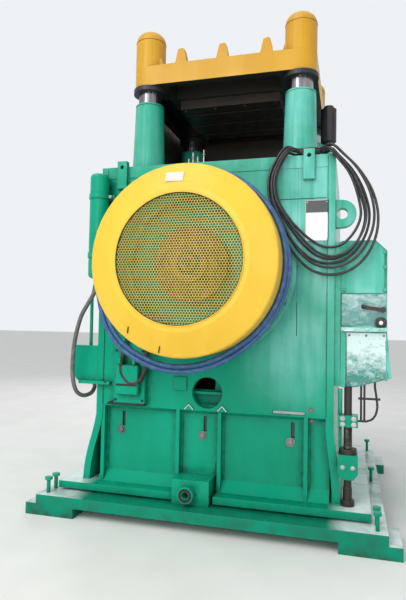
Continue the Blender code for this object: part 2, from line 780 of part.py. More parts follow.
def drain_stub():
    """The pipe stub screwed into the low front boss of the frame."""
    face = -FLANGE_DEPTH / 2 - DRAIN_BOSS_REACH
    profile = [
        (DRAIN_PIPE_BORE - WALL / 5, face - DRAIN_PIPE_LENGTH), (DRAIN_PIPE_RADIUS, face - DRAIN_PIPE_LENGTH),
        (DRAIN_PIPE_RADIUS, face - SEAT_GAP), (DRAIN_PIPE_BORE, face - SEAT_GAP),
        (DRAIN_PIPE_BORE, face + DRAIN_SPIGOT), (DRAIN_PIPE_BORE - WALL / 5, face + DRAIN_SPIGOT),
    ]
    form = turned(profile, "Y", (DRAIN_PIPE_X, 0, DRAIN_PIPE_Z), SMALL_SIDES)
    piece("drain_stub", form, green_enamel())


def tee_slots(half_length, face, sign):
    """Cutters for three T-slots along X. The sign is 1 where they open upward and -1 where they open downward."""
    cutters = []
    outline = [
        (-TEE_NECK / 2, OVERRUN), (-TEE_NECK / 2, -TEE_NECK_DEPTH), (-TEE_HEAD / 2, -TEE_NECK_DEPTH),
        (-TEE_HEAD / 2, -TEE_DEPTH), (TEE_HEAD / 2, -TEE_DEPTH), (TEE_HEAD / 2, -TEE_NECK_DEPTH),
        (TEE_NECK / 2, -TEE_NECK_DEPTH), (TEE_NECK / 2, OVERRUN),
    ]
    for row in (-1, 0, 1):
        points = [(u + row * TEE_PITCH, face + sign * v) for u, v in outline]
        cutters.append(prism(points, "X", -half_length - OVERRUN, half_length + OVERRUN))
    return cutters


def bolster_plate():
    """The slotted steel bolster on the deck, with the slug hole through its middle."""
    half = (BOLSTER_WIDTH / 2, BOLSTER_DEPTH / 2)
    low = DECK_TOP + SEAT_GAP
    top = low + BOLSTER_THICK
    plate = block((-half[0], -half[1], low), (half[0], half[1], top))
    hole = block((-SLUG_WIDTH / 2, -SLUG_DEPTH / 2, low - OVERRUN), (SLUG_WIDTH / 2, SLUG_DEPTH / 2, top + OVERRUN))
    slots = tee_slots(half[0], top, 1)
    bpy.data.objects.remove(slots.pop(1), do_unlink=True)
    piece("bolster_plate", cut(plate, hole, *slots), dark_steel())


def guide_sleeve(corner, x, y):
    """One tapered cast sleeve with its seating flange on the deck."""
    flange_low = DECK_TOP + SEAT_GAP
    flange_top = flange_low + SLEEVE_FLANGE_THICK
    profile = [
        (SLEEVE_BORE, SLEEVE_BOTTOM), (SLEEVE_FOOT_RADIUS, SLEEVE_BOTTOM), (SLEEVE_FOOT_RADIUS, flange_low),
        (SLEEVE_FLANGE_RADIUS, flange_low), (SLEEVE_FLANGE_RADIUS, flange_top), (SLEEVE_FOOT_RADIUS, flange_top),
        (SLEEVE_TOP_RADIUS, SLEEVE_TOP - SLEEVE_LIP), (SLEEVE_TOP_RADIUS - SLEEVE_LIP / 2, SLEEVE_TOP),
        (SLEEVE_BORE, SLEEVE_TOP),
    ]
    piece(f"guide_sleeve_{corner}", turned(profile, "Z", (x, y, 0)), green_enamel())


def guide_bush(corner, x, y):
    """The bronze bush pressed into the top of a sleeve."""
    top = SLEEVE_TOP - BUSH_DROP
    form = ring(running_bore(POST_RADIUS), SLEEVE_BORE - SEAT_GAP, "Z", (x, y, 0), top - BUSH_LENGTH, top)
    piece(f"guide_bush_{corner}", form, bronze())


def guide_post(corner, x, y):
    """One guide post: the nut under the yoke, the long ground rod and the collar under the crown."""
    nut_top = BEAM_LOW - SEAT_GAP
    collar_top = CROWN_BOTTOM - SEAT_GAP
    profile = [
        (0, nut_top - POST_NUT_THICK), (COLLAR_RADIUS, nut_top - POST_NUT_THICK), (COLLAR_RADIUS, nut_top),
        (POST_RADIUS, nut_top), (POST_RADIUS, collar_top - COLLAR_THICK), (COLLAR_RADIUS, collar_top - COLLAR_THICK),
        (COLLAR_RADIUS, collar_top), (POST_RADIUS, collar_top), (POST_RADIUS, BOSS_TOP - SEAT_GAP),
        (0, BOSS_TOP - SEAT_GAP),
    ]
    piece(f"guide_post_{corner}", turned(profile, "Z", (x, y, 0)), machined_steel())


def post_cap(corner, x, y):
    """The domed cap that closes a crown boss."""
    low = BOSS_TOP + SEAT_GAP
    lip = SLEEVE_LIP
    dome = [
        (BOSS_RADIUS * math.cos(math.radians(angle)), low + lip + (CAP_HEIGHT - lip) * math.sin(math.radians(angle)))
        for angle in range(0, 90, 15)
    ]
    profile = [(0, low), (BOSS_RADIUS, low), *dome, (0, low + CAP_HEIGHT)]
    piece(f"post_cap_{corner}", turned(profile, "Z", (x, y, 0), FINE_SIDES // 2), yellow_enamel())


def crown_outline():
    """The crown from above: a rectangle whose corners are round about the posts."""
    points = []
    for center, start in (((POST_X, POST_Y), 0), ((-POST_X, POST_Y), 90), ((-POST_X, -POST_Y), 180)):
        points += arc(center, BOSS_RADIUS, start, start + 90, 6)
    return points + arc((POST_X, -POST_Y), BOSS_RADIUS, 270, 360, 6)


def crown():
    """The cast crown: ribbed plate, four post bosses and three lifting lugs on the front edge."""
    plate = prism(crown_outline(), "Z", CROWN_BOTTOM, CROWN_TOP)
    front = -POST_Y - BOSS_RADIUS
    extras = []
    for x, y in POST_PLACES.values():
        extras.append(rod(BOSS_RADIUS, "Z", (x, y, 0), CROWN_TOP - OVERRUN, BOSS_TOP, FINE_SIDES // 2))
        inward = -math.copysign(1, x)
        gusset = [
            (x + inward * reach, CROWN_TOP + rise)
            for reach, rise in (
                (0, -OVERRUN), (BOSS_RADIUS + BOSS_FLARE, -OVERRUN), (BOSS_RADIUS + BOSS_FLARE, BOSS_FLARE / 8),
                (BOSS_RADIUS + BOSS_FLARE / 4, BOSS_FLARE_HEIGHT / 3), (BOSS_RADIUS - BOSS_FLARE / 6, BOSS_FLARE_HEIGHT),
                (0, BOSS_FLARE_HEIGHT),
            )
        ]
        extras.append(prism(gusset, "Y", y - BOSS_GUSSET_WIDTH / 2, y + BOSS_GUSSET_WIDTH / 2))
    for x in LUG_X:
        outline = [(x + u * LUG_WIDTH, CROWN_TOP + v * LUG_HEIGHT - (OVERRUN if v == 0 else 0))
                   for u, v in LUG_OUTLINE_SHARES]
        extras.append(prism(outline, "Y", front + SEAT_GAP, front + LUG_THICK))
    body = joined(plate, *extras)
    bores = [
        rod(POST_RADIUS + SEAT_GAP, "Z", (x, y, 0), CROWN_BOTTOM - OVERRUN, BOSS_TOP + OVERRUN)
        for x, y in POST_PLACES.values()
    ]
    piece("crown", cut(body, *bores, *crown_pockets()), yellow_enamel())


def crown_pockets():
    """Casting pockets open below, between the tool pad and the outer walls."""
    pad_x = RAM_PLATE_WIDTH / 2 + CROWN_PAD_RIM
    pad_y = RAM_PLATE_DEPTH / 2 + CROWN_PAD_RIM
    outer = POST_X + BOSS_RADIUS - CROWN_WALL
    clear = POST_X - COLLAR_RADIUS - CROWN_WALL / 2
    top = CROWN_TOP - CROWN_SKIN
    pockets = []
    for side in (-1, 1):
        ends = sorted((side * pad_y, side * outer))
        pockets.append(block((-clear, ends[0], CROWN_BOTTOM - OVERRUN), (clear, ends[1], top)))
        ends = sorted((side * (pad_x + CROWN_WALL / 2), side * outer))
        pockets.append(block((ends[0], -clear, CROWN_BOTTOM - OVERRUN), (ends[1], clear, top)))
    return pockets


def ram_plate():
    """The slotted tool plate bolted under the crown."""
    top = CROWN_BOTTOM - SEAT_GAP
    low = top - RAM_PLATE_THICK
    half = (RAM_PLATE_WIDTH / 2, RAM_PLATE_DEPTH / 2)
    plate = block((-half[0], -half[1], low), (half[0], half[1], top))
    piece("ram_plate", cut(plate, *tee_slots(half[0], low, -1)), dark_steel())


def yoke_crosshead():
    """The yoke that ties the four posts together, with the level slot that the crank's slide block drives."""
    slot_x = BLOCK_WIDTH / 2 + THROW + SLOT_SIDE_GAP
    slot_z = BLOCK_HEIGHT / 2 + SLOT_LIFT_GAP
    body_x = slot_x + YOKE_CHEEK
    half_y = YOKE_DEPTH / 2
    middle = block((-body_x, -half_y, PIN_Z - YOKE_HALF_HEIGHT), (body_x, half_y, PIN_Z + YOKE_HALF_HEIGHT))
    beams = []
    for side in (-1, 1):
        half_width = BEAM_WIDTH / 2
        end_y = BEAM_LENGTH / 2 - half_width
        outline = arc((side * POST_X, end_y), half_width, 0, 180, 10)
        outline += arc((side * POST_X, -end_y), half_width, 180, 360, 10)
        beams.append(prism(outline, "Z", BEAM_LOW, BEAM_LOW + BEAM_HEIGHT))
        ends = sorted((side * (body_x - OVERRUN), side * (POST_X - half_width / 2)))
        rib = BEAM_HEIGHT / 2 - OVERRUN
        beams.append(block((ends[0], -half_y + OVERRUN, PIN_Z - rib), (ends[1], half_y - OVERRUN, PIN_Z + rib)))
    cutters = [block((-slot_x, -half_y - OVERRUN, PIN_Z - slot_z), (slot_x, half_y + OVERRUN, PIN_Z + slot_z))]
    cutters += [
        rod(POST_RADIUS + SEAT_GAP, "Z", (x, y, 0), BEAM_LOW - OVERRUN, BEAM_LOW + BEAM_HEIGHT + OVERRUN)
        for x, y in POST_PLACES.values()
    ]
    piece("yoke_crosshead", cut(joined(middle, *beams), *cutters), dark_steel())


def crankshaft():
    """The crankshaft: stepped journals, two round webs and one pin set up by the throw."""
    center = (0, 0, CRANK_Z)
    web_end = PIN_HALF_LENGTH + WEB_THICK
    nose = -QUILL_FRONT - CLUTCH_THICK - CLUTCH_BOSS_LENGTH - OVERRUN
    front = [
        (0, nose - UNION_LENGTH), (UNION_RADIUS, nose - UNION_LENGTH), (UNION_RADIUS, nose), (NOSE_RADIUS, nose),
        (NOSE_RADIUS, PANEL_Y + WALL), (JOURNAL_RADIUS, PANEL_Y + WALL), (JOURNAL_RADIUS, -web_end + OVERRUN),
        (0, -web_end + OVERRUN),
    ]
    shaft = turned(front, "Y", center)
    rear = rod(JOURNAL_RADIUS, "Y", center, web_end - OVERRUN, CRANK_REAR)
    web_center = (0, 0, CRANK_Z + WEB_RISE)
    webs = [
        rod(WEB_RADIUS, "Y", web_center, -web_end, -PIN_HALF_LENGTH),
        rod(WEB_RADIUS, "Y", web_center, PIN_HALF_LENGTH, web_end),
    ]
    pin = rod(PIN_RADIUS, "Y", (0, 0, PIN_Z), -PIN_HALF_LENGTH - OVERRUN, PIN_HALF_LENGTH + OVERRUN)
    form = joined(shaft, webs[0], pin, webs[1], rear)
    piece("crankshaft", form, machined_steel(), center)


def slide_block():
    """The block that turns on the crank pin and slides in the yoke's slot."""
    half = (BLOCK_WIDTH / 2, BLOCK_DEPTH / 2, BLOCK_HEIGHT / 2)
    body = block((-half[0], -half[1], PIN_Z - half[2]), (half[0], half[1], PIN_Z + half[2]))
    bore = rod(running_bore(PIN_RADIUS), "Y", (0, 0, PIN_Z), -half[1] - OVERRUN, half[1] + OVERRUN)
    piece("slide_block", cut(body, bore), bronze(), (0, 0, PIN_Z))


def bearing_hanger(name, side):
    """A main bearing hung under the deck, with its eye round the crankshaft."""
    half_top = HANGER_WIDTH / 2
    top = DECK_LOW - SEAT_GAP
    outline = [(-half_top, top), (-half_top, top - HANGER_THICK), (-HANGER_EYE, CRANK_Z + HANGER_EYE / 2)]
    outline += arc((0, CRANK_Z), HANGER_EYE, 180, 360, 16)
    outline += [(HANGER_EYE, CRANK_Z + HANGER_EYE / 2), (half_top, top - HANGER_THICK), (half_top, top)]
    low = side * HANGER_Y - HANGER_THICK / 2
    body = prism(outline, "Y", low, low + HANGER_THICK)
    seat = running_bore(JOURNAL_RADIUS) + MAIN_BUSH_WALL + SEAT_GAP
    bore = rod(seat, "Y", (0, 0, CRANK_Z), low - OVERRUN, low + HANGER_THICK + OVERRUN)
    piece(f"bearing_hanger_{name}", cut(body, bore), green_enamel())


def main_bush(name, side):
    bore = running_bore(JOURNAL_RADIUS)
    low = side * HANGER_Y - HANGER_THICK / 2
    form = ring(bore, bore + MAIN_BUSH_WALL, "Y", (0, 0, CRANK_Z), low, low + HANGER_THICK)
    piece(f"main_bush_{name}", form, bronze())


def counterbalance():
    """The air cylinder on the base plate and the piston rod that holds the yoke up."""
    low = BASE_TOP + SEAT_GAP
    foot = low + BALANCE_FLANGE_THICK
    shoulder = BALANCE_TOP - BALANCE_FLANGE_THICK
    bore = running_bore(BALANCE_ROD, SMALL_SIDES)
    shell = [
        (0, low), (BALANCE_FLANGE, low), (BALANCE_FLANGE, foot), (BALANCE_RADIUS, foot),
        (BALANCE_RADIUS, BALANCE_TOP),
        (bore, BALANCE_TOP), (bore, shoulder), (BALANCE_BORE, shoulder), (BALANCE_BORE, foot), (0, foot),
    ]
    cylinder = turned(shell, "Z", (0, 0, 0), SMALL_SIDES)
    port_z = foot + BALANCE_PORT * 2
    port = rod(BALANCE_PORT, "Y", (0, 0, port_z), -BALANCE_RADIUS - OVERRUN, 0, 8)
    piece("counterbalance_cylinder", cut(cylinder, port), dark_steel())
    piston = BALANCE_BORE - SLEEVE_LIP / 4
    top = PIN_Z - YOKE_HALF_HEIGHT - SEAT_GAP
    piston_top = BALANCE_PISTON_LOW + BALANCE_PISTON_THICK
    profile = [
        (0, BALANCE_PISTON_LOW), (piston, BALANCE_PISTON_LOW), (piston, piston_top), (BALANCE_ROD, piston_top),
        (BALANCE_ROD, top), (0, top),
    ]
    piece("counterbalance_rod", turned(profile, "Z", (0, 0, 0), SMALL_SIDES), machined_steel())


def quill():
    """The fixed sleeve on the front wall that the flywheel turns on."""
    back = PANEL_Y - SEAT_GAP
    front = back - QUILL_FLANGE_THICK
    profile = [
        (QUILL_BORE, -QUILL_FRONT), (QUILL_RADIUS, -QUILL_FRONT), (QUILL_RADIUS, front), (QUILL_FLANGE, front),
        (QUILL_FLANGE, back), (QUILL_SPIGOT, back), (QUILL_SPIGOT, back + QUILL_SPIGOT_LENGTH),
        (QUILL_BORE, back + QUILL_SPIGOT_LENGTH),
    ]
    piece("quill", turned(profile, "Y", (0, 0, CRANK_Z)), green_enamel())


def flywheel():
    """The flywheel: heavy rim, plain web and long hub bored for its bush."""
    bore = running_bore(QUILL_RADIUS, FINE_SIDES) + HUB_BUSH_WALL + SEAT_GAP
    rim_bore = FLYWHEEL_RADIUS - FLYWHEEL_RIM
    rim_back = -FLYWHEEL_FRONT + FLYWHEEL_WIDTH
    web_back = -FLYWHEEL_WEB_FRONT + FLYWHEEL_WEB
    hub_back = -HUB_FRONT + HUB_WIDTH
    profile = [
        (bore, -HUB_FRONT), (HUB_RADIUS, -HUB_FRONT), (HUB_RADIUS, -FLYWHEEL_WEB_FRONT),
        (rim_bore, -FLYWHEEL_WEB_FRONT), (rim_bore, -FLYWHEEL_FRONT), (FLYWHEEL_RADIUS, -FLYWHEEL_FRONT),
        (FLYWHEEL_RADIUS, rim_back), (rim_bore, rim_back), (rim_bore, web_back), (HUB_RADIUS, web_back),
        (HUB_RADIUS, hub_back), (bore, hub_back),
    ]
    center = (0, 0, CRANK_Z)
    piece("flywheel", turned(profile, "Y", center, FINE_SIDES), green_enamel(), center)
    bush_bore = running_bore(QUILL_RADIUS, FINE_SIDES)
    form = ring(bush_bore, bush_bore + HUB_BUSH_WALL, "Y", center, -QUILL_FRONT, hub_back, FINE_SIDES)
    piece("flywheel_bush", form, bronze(), center)


def clutch_hub():
    """The driven clutch disc keyed on the crankshaft's nose, in front of the flywheel's hub."""
    back = -HUB_FRONT - 2 * SEAT_GAP
    front = back - CLUTCH_THICK
    nose = front - CLUTCH_BOSS_LENGTH
    bore = NOSE_RADIUS + SEAT_GAP
    groove = CLUTCH_BOSS_RADIUS + (CLUTCH_RADIUS - CLUTCH_BOSS_RADIUS) / 2
    profile = [
        (bore, nose), (CLUTCH_BOSS_RADIUS, nose), (CLUTCH_BOSS_RADIUS, front), (groove, front),
        (groove, front + CLUTCH_THICK / 6), (CLUTCH_RADIUS, front + CLUTCH_THICK / 6), (CLUTCH_RADIUS, back),
        (bore, back),
    ]
    center = (0, 0, CRANK_Z)
    piece("clutch_hub", turned(profile, "Y", center), rusty_iron(), center)


def flywheel_guard():
    """The spun guard: a deep drum with a round front edge and a dished face round the mesh window."""
    face = -GUARD_FRONT
    edge = face + GUARD_DISH
    land = GUARD_WINDOW + GUARD_LAND
    corner = arc((GUARD_RADIUS - GUARD_CORNER, edge + GUARD_CORNER), GUARD_CORNER, 0, -75, 4)
    inner_radius = GUARD_CORNER - GUARD_SHEET
    inner = arc((GUARD_RADIUS - GUARD_CORNER, edge + GUARD_CORNER), inner_radius, -75, 0, 4)
    back = PANEL_Y - SEAT_GAP
    profile = [(GUARD_RADIUS, back), *corner, (land, face), (GUARD_WINDOW, face), (GUARD_WINDOW, face + GUARD_SHEET)]
    profile += [(land, face + GUARD_SHEET), *inner, (GUARD_RADIUS - GUARD_SHEET, back)]
    piece("flywheel_guard", turned(profile, "Y", (0, 0, CRANK_Z), FINE_SIDES), yellow_enamel())


def guard_mesh():
    """The perforated disc behind the guard's window, with its holes in staggered rows."""
    low = -GUARD_FRONT + GUARD_SHEET + SEAT_GAP
    disc = rod(MESH_RADIUS, "Y", (0, 0, CRANK_Z), low, low + MESH_THICK, FINE_SIDES)
    holes = bmesh.new()
    row_step = MESH_PITCH * math.sqrt(3) / 2
    reach = GUARD_WINDOW - MESH_HOLE * 1.1
    rows = math.ceil(reach / row_step)
    for row in range(-rows, rows + 1):
        shift = MESH_PITCH / 2 if row % 2 else 0
        for column in range(-rows - 1, rows + 2):
            x = column * MESH_PITCH + shift
            z = row * row_step
            if math.hypot(x, z) < reach:
                hexagon_prism(holes, (x, CRANK_Z + z), low - OVERRUN, low + MESH_THICK + OVERRUN)
    piece("guard_mesh", cut(disc, made_object("holes", holes)), yellow_enamel())


def hexagon_prism(bm, center, low, high):
    """Adds one six-sided cutter to a bmesh that holds many."""
    corners = arc(center, MESH_HOLE, 30, 330, 5)
    near = [bm.verts.new((x, low, z)) for x, z in corners]
    far = [bm.verts.new((x, high, z)) for x, z in corners]
    bm.faces.new(near)
    bm.faces.new(far[::-1])
    for side in range(6):
        after = (side + 1) % 6
        bm.faces.new((near[side], far[side], far[after], near[after]))


def rear_cover():
    """The bolted cover over the opening behind the crank."""
    half_x = REAR_OPENING_WIDTH / 2 + REAR_COVER_LAP
    half_z = REAR_OPENING_HEIGHT / 2 + REAR_COVER_LAP
    low = SEAT_GAP - PANEL_Y
    plate = block((-half_x, low, REAR_OPENING_Z - half_z), (half_x, low + REAR_COVER_THICK, REAR_OPENING_Z + half_z))
    piece("rear_cover", plate, green_enamel())


def rear_guard():
    """The dark sheet that closes the rear of the die space between the rear sleeves."""
    half = REAR_GUARD_WIDTH / 2
    low = DECK_TOP + SEAT_GAP
    outline = [
        (REAR_GUARD_Y, low), (REAR_GUARD_Y + REAR_GUARD_FOOT, low),
        (REAR_GUARD_Y + REAR_GUARD_FOOT, low + REAR_GUARD_SHEET),
        (REAR_GUARD_Y + REAR_GUARD_SHEET, low + REAR_GUARD_SHEET), (REAR_GUARD_Y + REAR_GUARD_SHEET, REAR_GUARD_TOP),
        (REAR_GUARD_Y, REAR_GUARD_TOP),
    ]
    piece("rear_guard", prism(outline, "X", -half, half), dark_steel())


def valve_manifold():
    """The valve plate on the front wall with two hose ports near its top."""
    back = PANEL_Y - SEAT_GAP
    body = block((MANIFOLD_LEFT, back - MANIFOLD_THICK, MANIFOLD_LOW), (MANIFOLD_RIGHT, back, MANIFOLD_HIGH))
    ports = []
    for x in HOSE_PORT_X:
        half = PORT_BLOCK / 2
        low = (x - half, back - MANIFOLD_THICK - PORT_BLOCK_REACH, PORT_BLOCK_LOW)
        ports.append(block(low, (x + half, back - OVERRUN, PORT_BLOCK_LOW + PORT_BLOCK)))
    piece("valve_manifold", joined(body, *ports), green_enamel())


def side_valve_box():
    """The box on the frame's lower left side, with the shelf along its foot."""
    right = -SIDE_X - SEAT_GAP
    corner = arc((VALVE_BOX_LEFT + VALVE_BOX_ROUND, VALVE_BOX_LOW + VALVE_BOX_ROUND), VALVE_BOX_ROUND, 180, 270, 5)
    outline = [(right, VALVE_BOX_HIGH), (VALVE_BOX_LEFT, VALVE_BOX_HIGH), *corner, (right, VALVE_BOX_LOW)]
    body = prism(outline, "Y", FRONT_Y, FRONT_Y + VALVE_BOX_DEPTH)
    shelf_left = VALVE_BOX_LEFT + VALVE_BOX_ROUND
    shelf_top = VALVE_BOX_LOW + VALVE_SHELF_THICK / 2
    front = FRONT_Y - VALVE_SHELF_REACH
    low = (shelf_left, front, shelf_top - VALVE_SHELF_THICK)
    near = block(low, (VALVE_SHELF_RIGHT, FRONT_Y - SEAT_GAP, shelf_top))
    under = block((shelf_left, front + OVERRUN, low[2]), (right, FRONT_Y + VALVE_BOX_DEPTH / 4, shelf_top))
    piece("side_valve_box", joined(body, near, under), green_enamel())


def air_tank():
    """The slim air tank strapped to the front wall beside the guard."""
    dome_low = TANK_LOW + TANK_DOME
    dome_high = TANK_HIGH - TANK_DOME
    shares = ((0.55, 0.0), (0.88, 0.35), (1.0, 1.0))
    profile = [(0, TANK_LOW)]
    profile += [(TANK_RADIUS * wide, TANK_LOW + (dome_low - TANK_LOW) * rise) for wide, rise in shares]
    profile += [(TANK_RADIUS * wide, TANK_HIGH - (TANK_HIGH - dome_high) * rise) for wide, rise in reversed(shares)]
    profile.append((0, TANK_HIGH))
    tank = turned(profile, "Z", (TANK_X, TANK_Y, 0), 24)
    straps = []
    for share in TANK_STRAP_SHARES:
        middle = TANK_LOW + (TANK_HIGH - TANK_LOW) * share
        low = (TANK_X, TANK_Y + TANK_RADIUS / 2, middle - TANK_STRAP_HEIGHT / 2)
        high = (TANK_X + TANK_RADIUS + TANK_STRAP_HEIGHT, FRONT_Y - SEAT_GAP, middle + TANK_STRAP_HEIGHT / 2)
        straps.append(block(low, high))
        straps.append(rod(TANK_RADIUS + TANK_STRAP_THICK / 2, "Z", (TANK_X, TANK_Y, 0), low[2], high[2], 24))
    return piece("air_tank", joined(tank, *straps), green_enamel())


def box_outline():
    """The feed drive box from the front: a sloping shoulder above and a keel that rises to the right below."""
    shoulder = BOX_RIGHT - BOX_TOP_CHAMFER
    return [
        (BOX_LEFT, BOX_LOW), (BOX_KEEL_X, BOX_LOW), (BOX_RIGHT + BOX_KEEL_REACH, BOX_LOW + BOX_KEEL_RISE),
        (BOX_RIGHT, BOX_LEDGE_Z), (BOX_RIGHT, BOX_HIGH - BOX_TOP_CHAMFER), (shoulder, BOX_HIGH), (BOX_LEFT, BOX_HIGH),
    ]


def feed_drive_box():
    """The box that hangs on the frame's right side, with its head plate, ledge bar and corner strip."""
    body = prism(box_outline(), "Y", BOX_FRONT, BOX_FRONT + BOX_DEPTH)
    inset = BOX_SPACER_INSET
    spacer = block((SIDE_X + SEAT_GAP, BOX_FRONT + inset, BOX_LOW + inset),
                   (BOX_LEFT + OVERRUN, BOX_FRONT + BOX_DEPTH - inset, BOX_HIGH - inset))
    shoulder = BOX_RIGHT - BOX_TOP_CHAMFER
    head_outline = [
        (BOX_LEFT, BOX_HEAD_LOW), (BOX_RIGHT - BOX_TOP_CHAMFER / 4, BOX_HEAD_LOW),
        (BOX_RIGHT - BOX_TOP_CHAMFER / 4, BOX_HIGH - BOX_TOP_CHAMFER), (shoulder, BOX_HIGH - OVERRUN),
        (BOX_LEFT, BOX_HIGH - OVERRUN),
    ]
    head = prism(head_outline, "Y", BOX_FRONT - BOX_HEAD_REACH, BOX_FRONT + OVERRUN)
    ledge = block((BOX_LEFT + OVERRUN, BOX_FRONT - BOX_LEDGE_REACH, BOX_LEDGE_Z),
                  (BOX_RIGHT - SEAT_GAP, BOX_FRONT + OVERRUN, BOX_LEDGE_Z + BOX_LEDGE_HEIGHT))
    strip = block((BOX_LEFT, BOX_FRONT - BOX_STRIP_REACH, BOX_LOW),
                  (BOX_LEFT + BOX_STRIP_WIDTH, BOX_FRONT + OVERRUN, BOX_LEDGE_Z - COVER_MARGIN))
    hollow = block((BOX_LEFT + BOX_STRIP_WIDTH + BOX_SHEET, BOX_FRONT - OVERRUN, BOX_LOW + BOX_KEEL_RISE + BOX_SHEET),
                   (BOX_RIGHT - BOX_SHEET, BOX_FRONT + BOX_DEPTH - BOX_SHEET, BOX_LEDGE_Z - BOX_SHEET))
    piece("feed_drive_box", cut(joined(body, spacer, head, ledge, strip), hollow), green_enamel())


def feed_box_cover():
    """The bolted cover plate on the lower front of the feed drive box."""
    left = BOX_LEFT + BOX_STRIP_WIDTH + COVER_MARGIN
    right = BOX_RIGHT - COVER_MARGIN
    top = BOX_LEDGE_Z - COVER_MARGIN
    rise = BOX_KEEL_RISE * (right - BOX_KEEL_X) / (BOX_RIGHT + BOX_KEEL_REACH - BOX_KEEL_X)
    low = BOX_LOW + COVER_MARGIN
    outline = [(left, low), (BOX_KEEL_X, low), (right, low + rise), (right, top), (left, top)]
    face = BOX_FRONT - SEAT_GAP
    piece("feed_box_cover", prism(outline, "Y", face - COVER_THICK, face), green_enamel())


def control_lever():
    """The hand lever in front of the feed drive box, pivoted at its right end."""
    length = LEVER_LENGTH - LEVER_HUB
    half = LEVER_HEIGHT / 2
    tip = (LEVER_X - length * math.cos(LEVER_RISE), LEVER_Z + length * math.sin(LEVER_RISE))
    lean = 90 - math.degrees(LEVER_RISE)
    outline = arc(tip, half, lean, lean + 180, 5) + arc((LEVER_X, LEVER_Z), half, lean + 180, lean + 360, 5)
    face = BOX_FRONT - LEVER_STAND_OFF
    bar = prism(outline, "Y", face - LEVER_THICK, face)
    hub = rod(LEVER_HUB, "Y", (LEVER_X, 0, LEVER_Z), face - LEVER_THICK, BOX_FRONT - SEAT_GAP, SMALL_SIDES)
    piece("control_lever", joined(bar, hub), dark_steel(), (LEVER_X, BOX_FRONT, LEVER_Z))


def selector_knob():
    """The round knob under the lever."""
    back = BOX_FRONT - SEAT_GAP
    front = back - KNOB_LENGTH
    neck = KNOB_RADIUS * 0.6
    profile = [(0, front), (KNOB_RADIUS * 0.8, front), (KNOB_RADIUS, front + KNOB_LENGTH / 5),
               (KNOB_RADIUS, back - KNOB_LENGTH / 3), (neck, back - KNOB_LENGTH / 3), (neck, back), (0, back)]
    form = turned(profile, "Y", (KNOB_X, 0, KNOB_Z), 20)
    piece("selector_knob", form, dark_steel(), (KNOB_X, BOX_FRONT, KNOB_Z))


def jack_screw():
    """The jack's foot, threaded stud and rod, from the flange up to the feed drive box."""
    low = FLANGE_TOP + SEAT_GAP
    foot = low + JACK_FOOT_THICK
    profile = [
        (0, low), (JACK_FOOT, low), (JACK_FOOT, foot), (JACK_THREAD, foot), (JACK_THREAD, JACK_THREAD_TOP),
        (JACK_ROD, JACK_THREAD_TOP), (JACK_ROD, BOX_LOW - SEAT_GAP), (0, BOX_LOW - SEAT_GAP),
    ]
    piece("jack_screw", turned(profile, "Z", (JACK_X, JACK_Y, 0), SMALL_SIDES), dark_steel())


def jack_block():
    """The square nut block, bevelled below and coped to the frame's flared side."""
    half = JACK_BLOCK / 2
    bevel = JACK_BLOCK_BEVEL
    outline = [
        (JACK_X - half + bevel * 0.8, JACK_BLOCK_LOW), (JACK_X + half - bevel * 0.8, JACK_BLOCK_LOW),
        (JACK_X + half, JACK_BLOCK_LOW + bevel), (JACK_X + half, JACK_BLOCK_HIGH), (JACK_X - half, JACK_BLOCK_HIGH),
        (JACK_X - half, JACK_BLOCK_LOW + bevel),
    ]
    body = prism(outline, "Y", JACK_Y - half, JACK_Y + half)
    bore = rod(JACK_ROD + SEAT_GAP, "Z", (JACK_X, JACK_Y, 0), JACK_BLOCK_LOW - OVERRUN, JACK_BLOCK_HIGH + OVERRUN,
               SMALL_SIDES)
    cope = prism(side_profile(FLARE_RIGHT, SEAT_GAP), "Y", FRONT_Y - SEAT_GAP, REAR_Y)
    piece("jack_block", cut(body, bore, cope), green_enamel())


def jack_collar():
    """The round lock nut that turns on the jack's rod above the block."""
    low = JACK_BLOCK_HIGH + RUN_GAP
    bore = running_bore(JACK_ROD, 24)
    place = (JACK_X, JACK_Y, 0)
    form = ring(bore, JACK_COLLAR, "Z", place, low, low + JACK_COLLAR_THICK, 24)
    piece("jack_collar", form, dark_steel(), (JACK_X, JACK_Y, low))


def jack_clamp():
    """The clamp plate round the rod, with the thin guide rod below it and a stop tube above it."""
    half_x = JACK_CLAMP_WIDTH / 2
    half_y = JACK_CLAMP_DEPTH / 2
    low = (JACK_X - half_x, JACK_Y - half_y, JACK_CLAMP_LOW)
    body = block(low, (JACK_X + half_x, JACK_Y + half_y, JACK_CLAMP_HIGH))
    side_x = JACK_X - JACK_GUIDE_OFFSET
    lock_top = JACK_BLOCK_HIGH + RUN_GAP + JACK_COLLAR_THICK + RUN_GAP
    guide = rod(JACK_GUIDE, "Z", (side_x, JACK_Y, 0), lock_top + RUN_GAP, JACK_CLAMP_LOW + OVERRUN, 10)
    stop = rod(JACK_TUBE, "Z", (side_x, JACK_Y, 0), JACK_CLAMP_HIGH - OVERRUN, BOX_LOW - OVERRUN - SEAT_GAP, 10)
    bore = rod(JACK_ROD + SEAT_GAP, "Z", (JACK_X, JACK_Y, 0), JACK_CLAMP_LOW - OVERRUN, JACK_CLAMP_HIGH + OVERRUN,
               SMALL_SIDES)
    piece("jack_clamp", cut(joined(body, guide, stop), bore), green_enamel())


